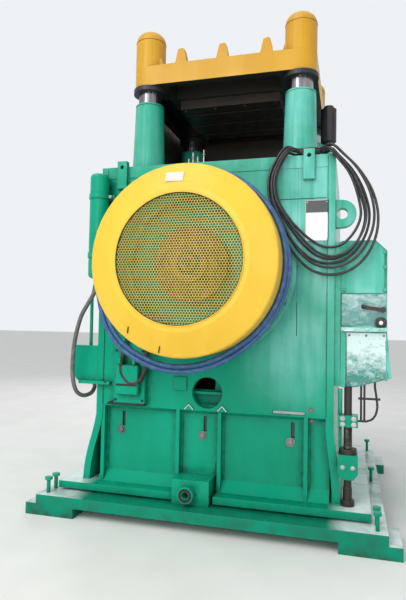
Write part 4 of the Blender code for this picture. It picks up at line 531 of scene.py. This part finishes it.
def fastened(name, look, kind, *rows, body="bed"):
    """A piece made of rows of bolts or screws: the places along x, y and z, the way they point and their size."""
    shape = Shape()
    for xs, ys, zs, axis, size in rows:
        for x, y, z in product(xs, ys, zs):
            kind(shape, at(x, y, z), axis, size)
    return shape.done(name, look, body)


def boxed(name, look, *boxes, slot=None):
    """A piece on the bed, made of boxes with two opposite corners each, and a bevel where they have one."""
    shape = Shape()
    for low, high, *bevel in boxes:
        shape.box(at(*low), at(*high), *bevel)
    return shape.done(name, look, slot=slot)


# Stage


def staged(name, data):
    """An object in the scene that is no piece of the press."""
    made = bpy.data.objects.new(name, data)
    bpy.context.scene.collection.objects.link(made)
    return made


def lights_and_floor():
    """A pale floor, a white surround, a soft sun and six lamps, of which two strips streak the paint."""
    scene = bpy.context.scene
    scene.view_settings.view_transform = "Standard"
    world = bpy.data.worlds.new("surround")
    scene.world = world
    world.use_nodes = True
    tree = world.node_tree
    background = tree.nodes["Background"]
    path = tree.nodes.new("ShaderNodeLightPath")
    seen = tree.nodes.new("ShaderNodeMix")
    seen.data_type = "RGBA"
    shown = path.outputs["Is Camera Ray"]
    for kind in ("Is Glossy Ray", "Is Transmission Ray"):
        either = tree.nodes.new("ShaderNodeMath")
        either.operation = "MAXIMUM"
        tree.links.new(shown, either.inputs[0])
        tree.links.new(path.outputs[kind], either.inputs[1])
        shown = either.outputs[0]
    tree.links.new(shown, seen.inputs[0])
    seen.inputs[6].default_value = (0.36, 0.375, 0.39, 1)
    seen.inputs[7].default_value = (0.86, 0.88, 0.9, 1)
    tree.links.new(seen.outputs[2], background.inputs["Color"])
    floor = Look("floor_look", (0.84, 0.83, 0.81), 0.75)
    clouds = floor.span(floor.noise(3.0, 6.0), 0.3, 0.7)
    floor.set("Base Color", floor.mix(clouds, (0.86, 0.85, 0.83), (0.8, 0.79, 0.77)))
    mesh = bpy.data.meshes.new("floor")
    mesh.from_pydata([(-40, -40, 0), (40, -40, 0), (40, 40, 0), (-40, 40, 0)], [], [(0, 1, 2, 3)])
    mesh.materials.append(floor.material)
    staged("floor", mesh)
    lamps = (
        ("key", (-2.6, -5.6, 4.6), (0.0, 0.0, 1.3), 2.6, 1.6, 90),
        ("fill", (3.4, -4.6, 2.6), (0.1, 0.0, 1.2), 1.8, 2.6, 45),
        ("top", (0.5, 0.5, 6.0), (0.0, 0.0, 1.0), 4.0, 4.0, 40),
        ("strip_a", (-1.5, -7.0, 4.1), (0.1, -0.5, 2.0), 0.3, 3.2, 90),
        ("strip_b", (0.2, -7.2, 1.9), (0.5, -0.5, 1.2), 0.55, 2.4, 70),
        ("back", (-2.5, 5.5, 3.8), (0.0, 0.3, 1.3), 2.5, 2.5, 70),
    )
    for name, place, aim, wide, tall, power in lamps:
        lamp = bpy.data.lights.new(name, "AREA")
        lamp.shape = "RECTANGLE"
        lamp.size = wide
        lamp.size_y = tall
        lamp.energy = power
        made = staged(name, lamp)
        made.location = place
        made.rotation_euler = (Vector(aim) - Vector(place)).to_track_quat("-Z", "Y").to_euler()
    sun = bpy.data.lights.new("sky", "SUN")
    sun.energy = 1.0
    sun.angle = math.radians(35)
    staged("sky", sun).rotation_euler = Vector((0.35, 0.6, -1.0)).to_track_quat("-Z", "Y").to_euler()


def camera():
    """The photograph's viewpoint, found from its vanishing points."""
    right = Vector((0.9632, 0.268, 0.0186)).normalized()
    ahead = Vector((-0.2686, 0.9623, 0.0421)).normalized()
    up = right.cross(ahead).normalized()
    right = ahead.cross(up)
    lens = bpy.data.cameras.new("camera")
    lens.sensor_fit = "VERTICAL"
    lens.sensor_height = 36.0
    lens.lens = 31.67
    lens.clip_start = 0.05
    lens.clip_end = 60.0
    turn = Matrix((right, up, -ahead)).transposed().to_4x4()
    made = staged("camera", lens)
    made.matrix_world = Matrix.Translation((0.7695, -3.4, 1.114)) @ turn
    bpy.context.scene.camera = made


# The guard and its screen


def perforated_screen():
    """The guard's screen: round holes in staggered rows across a thin sheet."""
    pitch = 0.0138
    hole = 0.0064
    reach = 0.33
    front = SCREEN_Y + PRESS_Y
    thick = 0.002
    shape = Shape()
    bm = shape.bm
    shared = {}

    def point(x, z, y):
        key = (round(x, 5), round(z, 5), round(y, 5))
        if key not in shared:
            shared[key] = bm.verts.new((x, y, z + AXIS_Z))
        return shared[key]

    row_step = pitch * math.sqrt(3) / 2
    rows = int(reach / row_step) + 1
    corner = pitch / math.sqrt(3)
    for row in range(-rows, rows + 1):
        for column in range(-rows, rows + 1):
            cx = column * pitch + (pitch / 2 if row % 2 else 0)
            cz = row * row_step
            if math.hypot(cx, cz) > reach:
                continue
            outer, inner, deep = [], [], []
            for step in range(12):
                angle = math.radians(30 * step + 30)
                far = corner if step % 2 == 0 else corner * math.cos(math.pi / 6)
                outer.append(point(cx + far * math.cos(angle), cz + far * math.sin(angle), front))
                x, z = cx + hole * math.cos(angle), cz + hole * math.sin(angle)
                inner.append(point(x, z, front))
                deep.append(point(x, z, front + thick))
            for step in range(12):
                after = (step + 1) % 12
                bm.faces.new((outer[step], outer[after], inner[after], inner[step]))
                bm.faces.new((inner[step], inner[after], deep[after], deep[step]))
    screen = shape.done("guard_screen", BRIGHTENED_SCREEN_YELLOW, angle=50)
    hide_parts("guard_mesh")


def guard_trim():
    """The bead round the window, a ring of painted shadow at the screen's edge, the casing and its screws, a blank
    plate and two slits.
    """
    trim = Shape()
    section = [(0.3125 + 0.003 * u, 0.003 * v) for u, v in circle(8)]
    trim.turned(section, at(0, -1.3012, AXIS_Z), FORWARD, 96)
    lip = [(0.466, 0.004), (0.466, 0.014), (0.4625, 0.014), (0.4625, 0.004)]
    trim.turned(lip, at(0, PANEL_Y, AXIS_Z), FORWARD, 96)
    trim.done("guard_bead", GUARD_YELLOW, angle=60)
    # Painted shadow: a thin near-black ring where the screen's edge lies in shade.
    rim_shadow = Shape().turned(ring(0.3065, 0.3118, 0.002), at(0, SCREEN_Y - 0.0005, AXIS_Z), FORWARD, 96)
    rim_shadow.done("screen_rim_shadow", DARK, angle=60)
    casing = Shape()
    foot = at(0, PANEL_Y - 0.0005, AXIS_Z)
    casing.turned(ring(0.4638, 0.4662, 0.36), foot, FORWARD, 96)
    casing.turned([(0.4664, 0), (0.486, 0), (0.486, 0.008), (0.4664, 0.012)], foot, FORWARD, 96)
    casing.done("guard_casing", GREEN, angle=60)
    screws = Shape()
    for step in range(8):
        angle = math.radians(45 * step + 22)
        outward = Vector((math.cos(angle), 0, math.sin(angle)))
        screws.bolt(at(0, -0.745, AXIS_Z) + outward * 0.4662, outward, 0.008)
    screws.done("guard_screws", WORN_STEEL)
    slope = math.atan2(0.0408, 0.1075)
    plate = Shape()
    plate.box((-0.044, -0.0015, -0.025), (0.044, 0.0015, 0.025), 0.0008)
    turn = Matrix.Rotation(-slope, 4, "X")
    place = Matrix.Translation(at(-0.027, -1.283, AXIS_Z + 0.388))
    bmesh.ops.transform(plate.bm, matrix=place @ turn, verts=plate.bm.verts)
    plate.done("guard_blank_plate", PINK_PLATE)
    for x, drop in ((-0.25, 0.335), (-0.092, 0.424)):
        forward = -1.3 + (math.hypot(x, drop) - 0.34) * math.tan(slope)
        slit = Shape()
        slit.box((-0.0022, -0.0012, -0.017), (0.0022, 0.003, 0.017))
        place = Matrix.Translation(at(x, forward, AXIS_Z - drop))
        turn = Matrix.Rotation(0.28, 4, "Y") @ Matrix.Rotation(slope, 4, "X")
        bmesh.ops.transform(slit.bm, matrix=place @ turn, verts=slit.bm.verts)
        slit.done(f"guard_slit_{round(drop * 1000)}", DARK)


# Hoses and cables


def open_tube(name, points, radius, look, resolution):
    """A round hose or cable along a line of points, closed at both ends."""
    curve = bpy.data.curves.new(name, "CURVE")
    curve.dimensions = "3D"
    curve.bevel_depth = radius
    curve.bevel_resolution = resolution
    curve.use_fill_caps = True
    spline = curve.splines.new("POLY")
    spline.points.add(len(points) - 1)
    for point, place in zip(spline.points, points):
        point.co = (*place, 1.0)
    return piece(name, curve, look)


def measured(points):
    """The length of a line of points."""
    return sum((Vector(b) - Vector(a)).length for a, b in zip(points, points[1:]))


def between(before, first, second, after, share):
    """A point that share of the way from first to second, on the smooth curve through all four."""
    return 0.5 * (2 * first + (second - before) * share + (2 * before - 5 * first + 4 * second - after) * share ** 2
                  + (3 * first - before - 3 * second + after) * share ** 3)


def ended(name, points, profile, back, look, slot=None):
    """A fitting on each end of a hose or cable, that far back along it."""
    ends = Shape()
    for first, second in ((points[0], points[1]), (points[-1], points[-2])):
        outward = (first - second).normalized()
        ends.turned(profile, first - outward * back, outward, 20)
    return ends.done(name, look, slot=slot)


# How far the blue hose stands out from the guard's drum, by its place round it in degrees.
HOSE_REACH = (
    (-180, 0.056), (-170, 0.062), (-160, 0.07), (-143, 0.102), (-132, 0.112), (-116, 0.104), (-103, 0.0985),
    (-89, 0.0833), (-75, 0.067), (-62, 0.0541), (-49, 0.044), (-32, 0.04), (-15, 0.043), (-4, 0.0415),
    (17, 0.03), (34, 0.026), (128, 0.026), (150, 0.037), (180, 0.056),
)


def hose_place(degrees, share):
    """A point on the hose. A share of 0 is the first turn, and 1 the second, behind it or inside it."""
    turned = (degrees + 180) % 360 - 180
    for (low, first), (high, second) in zip(HOSE_REACH, HOSE_REACH[1:]):
        if low <= turned <= high:
            reach = first + (second - first) * (turned - low) / (high - low)
            break
    inward = min(0.026, max(0.0, reach - 0.0258))
    apart = math.sqrt(0.0262 ** 2 - inward ** 2)
    radius = GUARD_RADIUS + reach - 0.0127 - (1 - share) * inward
    y = HOSE_Y + (share - 0.5) * apart
    angle = math.radians(degrees)
    return at(radius * math.cos(angle), y, AXIS_Z + radius * math.sin(angle))


def blue_hose():
    """Nearly two turns of blue hose resting on the guard's drum and hanging lower at the left."""
    radius = 0.0125
    start, turns, count = 132.0, 1.93, 200
    places = []
    for step in range(count + 1):
        degrees = start - 360.0 * turns * step / count
        swap = min(1.0, max(0.0, (degrees - start + 310.0) / -100.0))
        places.append(hose_place(degrees, swap * swap * (3 - 2 * swap)))
    evened = [(before + 2 * here + after) / 4 for before, here, after in zip(places, places[1:], places[2:])]
    points = [places[0], *evened, places[-1]]
    hose = open_tube("blue_hose", points, radius, BLUE_RUBBER, 5)
    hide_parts("blue_hose_coil")
    profile = [(0, 0), (0.0142, 0), (0.0142, 0.016), (0.0125, 0.018), (0.0125, 0.024), (0.01, 0.026),
               (0.01, 0.036), (0, 0.036)]
    fittings = ended("blue_hose_fittings", points, profile, 0.012, BRIGHT)


def smooth(places, steps):
    """Points on a smooth curve through the given places."""
    places = [Vector(place) for place in places]
    places = [places[0] * 2 - places[1], *places, places[-1] * 2 - places[-2]]
    points = []
    for before, first, second, after in zip(places, places[1:], places[2:], places[3:]):
        points += [between(before, first, second, after, step / steps) for step in range(steps)]
    return [*points, places[-2]]


def ribbed_tube(name, points, radius, look):
    """A corrugated hose cover: a ring of points for each rib and each groove."""
    half_pitch = 0.0021
    groove = 0.0014
    total = measured(points)
    count = round(total / half_pitch)
    shape = Shape()
    rings = []
    walked, index = 0.0, 0
    for step in range(count + 1):
        goal = total * step / count
        while index < len(points) - 2 and walked + (points[index + 1] - points[index]).length < goal:
            walked += (points[index + 1] - points[index]).length
            index += 1
        span = points[index + 1] - points[index]
        place = points[index] + span * min(1.0, (goal - walked) / span.length)
        ahead = points[min(index + 2, len(points) - 1)] - points[max(index - 1, 0)]
        side = ahead.cross(Vector((0, 1, 0.001))).normalized()
        other = ahead.cross(side).normalized()
        reach = radius if step % 2 == 0 else radius - groove
        rings.append([shape.bm.verts.new(place + reach * (u * side + v * other)) for u, v in circle(16)])
    shape.skin(rings)
    return shape.done(name, look, angle=80)


def fixed_hoses():
    """The ribbed clutch hose and the grey drain hose, each held at both ends."""
    y = -0.7733
    clutch = smooth([at(x, y, z) for x, z in (
        (-0.492, 0.9697), (-0.492, 0.93), (-0.502, 0.87), (-0.5, 0.815), (-0.47, 0.772), (-0.43, 0.757),
        (-0.388, 0.775), (-0.358, 0.825), (-0.348, 0.88), (-0.348, 0.935), (-0.348, 0.9697))], 8)
    loop = ribbed_tube("ribbed_hose", clutch, 0.0125, BROWN_RUBBER)
    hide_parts("clutch_hose")
    drain = smooth([at(*place) for place in (
        (-0.66, -0.786, 1.3597), (-0.66, -0.786, 1.335), (-0.675, -0.792, 1.28), (-0.712, -0.8, 1.21),
        (-0.756, -0.8, 1.13), (-0.795, -0.79, 1.000), (-0.815, -0.776, 0.86), (-0.815, -0.765, 0.76),
        (-0.8, -0.748, 0.69), (-0.778, -0.7, 0.66), (-0.76, -0.64, 0.668), (-0.755, -0.607, 0.695),
        (-0.755, -0.605, 0.722), (-0.755, -0.605, 0.7447))], 8)
    grey = open_tube("grey_hose", drain, 0.0125, GREY_RUBBER, 5)
    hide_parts("drain_hose")


def cable_strands():
    """Nearly six turns of black cable hung over the deck's edge behind the right hook plate."""
    behind, front, top, edge_y, edge_z = -0.66, -0.73, 2.07, -0.7252, 2.0652
    # Each place on the loop has a last number, by how much the strands spread apart there.
    route = (
        (0.55, behind, top, 1.0), (0.485, behind, top, 1.0), (0.432, edge_y, edge_z, 1.0),
        (0.385, front, 2.000, 1.0), (0.352, front, 1.905, 1.1), (0.362, front, 1.79, 1.3),
        (0.408, front, 1.69, 1.8), (0.462, front, 1.6, 2.7), (0.525, front, 1.52, 3.5),
        (0.6, front, 1.462, 4.0), (0.69, front, 1.45, 4.0), (0.775, front, 1.49, 3.6),
        (0.838, front, 1.58, 3.0), (0.862, front, 1.69, 2.4), (0.838, front, 1.81, 2.2),
        (0.785, front, 1.925, 1.6), (0.718, front, 2.01, 1.2), (0.665, edge_y, edge_z, 1.0),
        (0.615, behind, top, 1.0),
    )
    middle = at(0.605, -0.7, 1.76)
    bundle = 0.018
    turns = 5.94
    count = len(route)
    loop = []
    for span in range(count):
        corners = [Vector(route[(span + shift) % count]) for shift in (-1, 0, 1, 2)]
        loop += [between(*corners, step / 6) for step in range(6)]
    total = len(loop)
    points = []
    for step in range(int(turns * total) + 1):
        share = step / total
        here = loop[step % total]
        ahead = loop[(step + 1) % total] - loop[(step - 1) % total]
        along = Vector(ahead[:3]).normalized()
        place = at(*here[:3])
        outward = place - middle
        outward = (outward - along * outward.dot(along)).normalized()
        other = along.cross(outward)
        angle = share * math.pi / 3 + 0.6 + 0.25 * math.sin(2.7 * share)
        flat = bundle * here[3] * math.cos(angle) + (here[3] - 1) * 0.003 * math.sin(9.1 * share)
        points.append(place + outward * flat + other * bundle * math.sin(angle))
    cable = open_tube("hung_cable", points, 0.007, BLACK_RUBBER, 3)
    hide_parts("cable_coil")
    profile = [(0, 0), (0.009, 0), (0.0105, 0.01), (0.0105, 0.034), (0.0085, 0.036), (0.0085, 0.046), (0, 0.046)]
    plugs = ended("cable_connectors", points, profile, 0.014, DARK_PLATE, "black_rubber")


# Fasteners, seams and plates


def front_details():
    """The front wall's seams, a pad and the weld beads round it, on the ribs, hook plates and skirt."""
    y = PANEL_Y - 0.0005
    boxed("front_seams", DARK,
          ((0.4885, y - 0.0015, 1.05), (0.4915, y + 0.003, 1.23)),
          ((0.4895, y - 0.0008, 1.23), (0.4905, y + 0.003, 2.0)),
          ((0.39, y - 0.0015, 1.7985), (0.645, y + 0.003, 1.8015)),
          ((-0.645, y - 0.0015, 2.034), (0.645, y + 0.003, 2.0365)))
    boxed("wall_pad", PALE_GREEN,
          ((-0.1985, PANEL_Y - 0.003, 0.7275), (-0.1315, PANEL_Y, 0.7945), 0.001))
    welds = Shape()
    pad = ((-0.2025, 0.7235), (-0.1275, 0.7235), (-0.1275, 0.7985), (-0.2025, 0.7985), (-0.2025, 0.7235))
    welds.bead([at(x, PANEL_Y, z) for x, z in pad], 0.0032)
    welds.bead([at(-0.64, SKIRT_Y, BASE_Z), at(0.64, SKIRT_Y, BASE_Z)], 0.006)
    for x, side in product(RIB_X, (-1, 1)):
        welds.bead([at(x + side * 0.0125, RIB_Y, z) for z in (0.172, 0.59)], 0.0045)
    for hook in (-0.55, 0.55):
        for line in (((-1, 1.903), (-1, 2.035)), ((1, 1.903), (1, 2.035)), ((-1, 1.901), (1, 1.901))):
            welds.bead([at(hook + side * 0.031, WALL_Y, z) for side, z in line], 0.0035)
    for side, reach in ((-1, 0.7615), (1, 0.7265)):
        for wall in (WALL_Y, -WALL_Y):
            welds.bead([at(side * (reach - inset), wall, BASE_Z) for inset in (0.04, 0)], 0.006)
        welds.bead([at(side * reach, wall, BASE_Z + 0.001) for wall in (WALL_Y, -WALL_Y)], 0.006)
    welds.done("front_welds", GREEN, angle=60)
    boxed("corner_seams", DARK,
          ((0.6495, -0.7012, 0.62), (0.6515, -0.695, 2.03)), ((-0.6515, -0.7012, 0.62), (-0.6495, -0.695, 2.03)))


def placard():
    """The blank two-part placard on the right of the front wall, held by four screws."""
    face, back = PANEL_Y - 0.0042, PANEL_Y - 0.0028
    boxed("placard_back", GREY_PLATE, ((0.53, PANEL_Y - 0.003, 1.565), (0.656, PANEL_Y, 1.79), 0.0012))
    boxed("placard_head", DARK_PLATE, ((0.534, face, 1.722), (0.652, back, 1.786), 0.0006))
    boxed("placard_face", WHITE_PLATE, ((0.534, face, 1.569), (0.652, back, 1.718), 0.0006))
    screws = Shape()
    head = [(0, 0.0022), (0.0025, 0.0022), (0.004, 0.001), (0.0042, 0), (0, 0)]
    for x, z in product((0.541, 0.645), (1.577, 1.778)):
        screws.turned(head, at(x, face, z), FORWARD, 12)
    screws.done("placard_screws", BRIGHT)


def skirt_fittings():
    """The skirt's bolts and slot straps, the ribs' flats, the web and gussets at the porthole, the drain's mouth."""
    fastened("skirt_bolts", WORN_STEEL, Shape.bolt,
             ((-0.545, -0.04, 0.458), (SKIRT_Y,), (0.466,), FORWARD, 0.017),
             ((0.572,), (SKIRT_Y,), (0.59,), FORWARD, 0.012), ((0.572,), (PANEL_Y,), (0.655,), FORWARD, 0.01))
    boxed("slot_strip", GREY_PLATE,
          ((0.366, PANEL_Y + 0.004, 0.6245), (0.538, PANEL_Y + 0.01, 0.6395), 0.001))
    boxed("slot_straps", DARK_PLATE, *(
        ((x - 0.0085, SKIRT_Y + 0.014, 0.492), (x + 0.0085, SKIRT_Y + 0.02, 0.573), 0.001)
        for x in (-0.53, -0.026, 0.472)), slot="dark_steel")
    boxed("rib_flats", GREEN, *(
        ((x - 0.023, -0.659, low), (x + 0.023, RIB_Y, 0.606), 0.0025)
        for x, low in zip(RIB_X, (0.172, 0.252, 0.252, 0.172))))
    boxed("port_web", GREEN,
          ((-0.125, -0.604, 0.612), (0.11, -0.598, 0.722)), ((0.018, -0.6045, 0.715), (0.11, -0.5985, 0.815)))
    gussets = Shape()
    edges = Shape()
    for x in (-0.112, 0.082):
        corners = ((x - 0.028, 0.6135), (x + 0.028, 0.6135), (x, 0.648))
        gussets.skin([[gussets.bm.verts.new(at(u, y, v)) for u, v in corners] for y in (-0.703, -0.6975)])
        # Painted highlight: white beads along the gussets' edges, where they catch the light.
        edges.bead([at(x + u, -0.7035, v) for u, v in ((-0.026, 0.616), (0, 0.6455), (0.026, 0.616))], 0.0026)
    gussets.done("port_gussets", GREEN)
    edges.done("gusset_edge_glints", WHITE_PLATE)
    Shape().turned(ring(0.0212, 0.0375, 0.0006), at(-0.08, -0.8502, 0.18), FORWARD, 40).done("drain_mouth", DARK)


def sleeve_bolts():
    """Six bolts in each guide sleeve's flange, and a gland ring and a wiper in its mouth."""
    bolts, rings, wipers = Shape(), Shape(), Shape()
    reach = 0.1135
    gland = [(0.0822, 0), (0.0905, 0), (0.0905, 0.008), (0.088, 0.01), (0.0822, 0.01)]
    wiper = [(0.0738, 0), (0.0818, 0), (0.0818, 0.004), (0.0745, 0.011), (0.0738, 0.011)]
    for x, y in product((-POST_X, POST_X), (-POST_Y, POST_Y)):
        for step in range(6):
            angle = math.radians(60 * step + 30)
            place = at(x + reach * math.cos(angle), y + reach * math.sin(angle), DECK_Z + 0.0223)
            bolts.bolt(place, UP, 0.009, False)
        rings.turned(gland, at(x, y, 2.4762), UP, 40)
        wipers.turned(wiper, at(x, y, 2.4722), UP, 40)
    bolts.done("sleeve_bolts", IRON)
    rings.done("sleeve_rings", GREEN)
    wipers.done("post_wipers", BLACK_RUBBER)


def crown_details():
    """The seams under the crown's caps, and the screws of the tool plate under it."""
    seams = Shape()
    seam = [(0.0953, 0), (0.0966, 0.0015), (0.0953, 0.003), (0.093, 0.003), (0.093, 0)]
    for x, y in product((-POST_X, POST_X), (-POST_Y, POST_Y)):
        seams.turned(seam, at(x, y, 2.889), UP, 48)
    seams.done("cap_seams", RUST, "ram", "yellow_enamel")
    fastened("ram_plate_screws", IRON, Shape.screw,
             ((-0.3, -0.1, 0.1, 0.3), (-0.275, 0.275), (2.5318,), DOWN, 0.01), body="ram")


def bolster_details():
    """Screws down the bolster's sides and four nutted studs on the deck before it."""
    fastened("bolster_screws", IRON, Shape.screw,
             ((-0.31, 0.31), (-0.3, -0.1, 0.1, 0.3), (2.1153,), UP, 0.012))
    studs = Shape()
    for x, tall in ((-0.235, 0.12), (-0.2075, 0.158), (-0.176, 0.13), (-0.136, 0.172)):
        foot = at(x, -0.4, DECK_Z + 0.0003)
        studs.turned(rod(0.0045, tall)[::-1], foot, UP, 12)
        studs.bolt(foot, UP, 0.011)
        studs.bolt(at(x, -0.4, DECK_Z + tall - 0.034), UP, 0.009)
    studs.done("deck_studs", BRIGHT)


def die_space_shade_sheet():
    """Painted shade: a black iron sheet put at the left side of the die space to darken it, folded along its foot and
    its upright edges.
    """
    foot_top = DECK_Z + 0.0055
    high = 2.66
    boxed("die_space_shade_sheet", IRON,
          ((-0.6075, -0.25, DECK_FACE), (-0.603, 0.6165, high)),
          ((-0.63, -0.25, foot_top), (-0.6075, -0.245, high)),
          ((-0.645, -0.25, DECK_FACE), (-0.6075, 0.6165, foot_top)),
          ((-0.603, 0.612, DECK_FACE), (-0.5602, 0.6165, high)))
    fastened("die_space_shade_sheet_bolts", WORN_STEEL, Shape.bolt,
             ((-0.627,), (-0.15, 0.1, 0.35, 0.55), (foot_top,), UP, 0.009))


def feed_box_details():
    """The feed box's band, ledge, bracket, screws, bolts and hinges, the knob's dial and middle, the lever's grip."""
    # Painted reflection on the band and the ledge: pale mottled glare in their colour.
    boxed("feed_box_band", BAND_GREEN, ((0.7265, -0.6732, 1.112), (0.9525, -0.6718, 1.28), 0.0005))
    boxed("feed_box_ledge", GLARE_PLATE,
          ((0.7225, -0.718, 1.0805), (0.9565, -0.7172, 1.1015)),
          ((0.724, -0.6729, 0.8), (0.753, -0.6721, 1.079)))
    boxed("feed_box_bracket", GREEN,
          ((0.652, -0.69, 0.79), (0.7215, -0.682, 1.56), 0.001),
          ((0.652, -0.682, 0.79), (0.659, -0.63, 1.56), 0.001))
    # The cover's foot slopes, so each screw along it sits a little higher than the one before.
    fastened("feed_box_screws", WORN_STEEL, Shape.screw, *(
        ((x,), (-0.6823,), (low, 1.06), FORWARD, 0.0062)
        for x, low in ((0.766, 0.806), (0.852, 0.824), (0.94, 0.851))))
    fastened("feed_box_bolts", GREEN, Shape.bolt, ((0.738, 0.945), (-0.688,), (1.3, 1.42, 1.5), FORWARD, 0.008))
    dial = Shape().turned(ring(0.0262, 0.032, 0.002), at(KNOB_X, -0.6726, KNOB_Z), FORWARD, 40)
    dial.done("knob_dial", DARK_PLATE)
    button = [(0, 0.003), (0.009, 0.003), (0.0105, 0.0015), (0.0105, -0.001), (0, -0.001)]
    middle = Shape().turned(button, at(KNOB_X, -0.7003, KNOB_Z), FORWARD, 32)
    middle.done("knob_middle", WHITE_PLATE, "knob")
    ball = [(0, -0.012), (0.007, -0.011), (0.0115, -0.005), (0.0125, 0.001), (0.0105, 0.008), (0.006, 0.012),
            (0, 0.0125)]
    grip = Shape().turned(ball, at(0.838, -0.6945, 1.2115), (-1, 0, 0.14), 24)
    grip.done("lever_grip", BLACK_RUBBER, "lever", "dark_steel")
    hinge = Shape()
    for z in (0.825, 0.985):
        hinge.turned(rod(0.006, 0.05), at(0.9535, -0.681, z), UP, 16)
    hinge.done("cover_hinges", GREEN)


def valve_details():
    """Port nuts, screws and small bodies on the valve manifold, the side valve box and the air tank."""
    nuts = Shape()
    face = -0.7423
    nut = [(0, 0), (0.016, 0), (0.016, 0.01), (0.0145, 0.012), (0, 0.012)]
    for x in (-0.492, -0.348):
        nuts.turned(nut, at(x, -0.782, 0.9692), DOWN, 6)
    nuts.done("port_nuts", BRONZE)
    fastened("manifold_screws", IRON, Shape.screw,
             ((-0.548, -0.38), (face,), (0.655, 0.8, 0.94, 1.022), FORWARD, 0.007),
             ((-0.828, -0.62), (-0.7353,), (0.752,), FORWARD, 0.006))
    boxed("valve_body", GREEN,
          ((-0.535, -0.782, 0.69), (-0.395, face, 0.86), 0.004),
          ((-0.52, -0.792, 0.865), (-0.5, face, 0.905), 0.003),
          ((-0.43, -0.792, 0.865), (-0.41, face, 0.905), 0.003))
    # A dark slot line on the valve body, and a near-black strip of painted shadow under the manifold.
    boxed("valve_slot_and_shadow", DARK,
          ((-0.53, -0.783, 0.74), (-0.4, -0.7815, 0.752)), ((-0.6, -0.744, 0.625), (-0.372, -0.698, 0.6365)))
    fastened("tank_strap_bolts", BRIGHT, Shape.bolt, ((-0.607,), (-0.7625,), (1.4975, 1.8475), FORWARD, 0.007))


def jack_details():
    """The support jack's thread and clamp bolts, and the rods that hang from the feed box beside it."""
    tall = 0.0
    profile = [(0, 0)]
    while tall < 0.176:
        profile += [(0.0206, tall), (0.0226, tall + 0.0015)]
        tall += 0.003
    profile += [(0.0206, tall), (0, tall)]
    Shape().turned(profile, at(0.762, -0.68, 0.465), UP, 28).done("jack_thread", IRON)
    fastened("jack_bolts", BRIGHT, Shape.bolt,
             ((0.735, 0.792), (-0.7203,), (0.595,), FORWARD, 0.009),
             ((0.735, 0.792), (-0.7203,), (0.625,), FORWARD, 0.009),
             ((0.737, 0.787), (-0.7313,), (0.375,), FORWARD, 0.008))
    rods = Shape()
    y = -0.64
    for x in (0.829, 0.846):
        rods.turned(rod(0.0055, 0.19), at(x, y, 0.61), UP, 14)
    rods.turned(rod(0.006, 0.113), at(0.814, y, 0.723), (1, 0, 0), 14)
    rods.done("jack_guide_rods", IRON)


def drive_details():
    """Bolts of the bearing hangers, the rear cover and the clutch hub, and the hub's nut."""
    rear = 0.7093
    fastened("hanger_bolts", IRON, Shape.bolt,
             ((-0.165, 0.165), (-0.29,), (1.29, 1.52, 1.93), FORWARD, 0.014),
             ((-0.165, 0.165), (0.29,), (1.29, 1.52, 1.93), BACKWARD, 0.014),
             ((-0.27, 0.27), (rear,), (0.965, 1.1, 1.3, 1.5, 1.635), BACKWARD, 0.01),
             ((-0.13, 0.0, 0.13), (rear,), (0.965, 1.635), BACKWARD, 0.01))
    hub = Shape()
    reach = 0.165
    for step in range(8):
        angle = math.radians(45 * step + 10)
        hub.bolt(at(reach * math.cos(angle), -1.09, AXIS_Z + reach * math.sin(angle)), FORWARD, 0.011)
    nut = [(0.0205, 0), (0.048, 0), (0.048, 0.012), (0.044, 0.016), (0.0205, 0.016)]
    hub.turned(nut, at(0, -1.1262, AXIS_Z), FORWARD, 6)
    hub.done("hub_bolts", RUST, "crank")


def build_scene():
    camera()
    lights_and_floor()
    blue_hose()
    cable_strands()
    fixed_hoses()
    dress_nodes()
    perforated_screen()
    guard_trim()
    front_details()
    placard()
    skirt_fittings()
    sleeve_bolts()
    crown_details()
    bolster_details()
    die_space_shade_sheet()
    feed_box_details()
    valve_details()
    jack_details()
    drive_details()


build_scene()
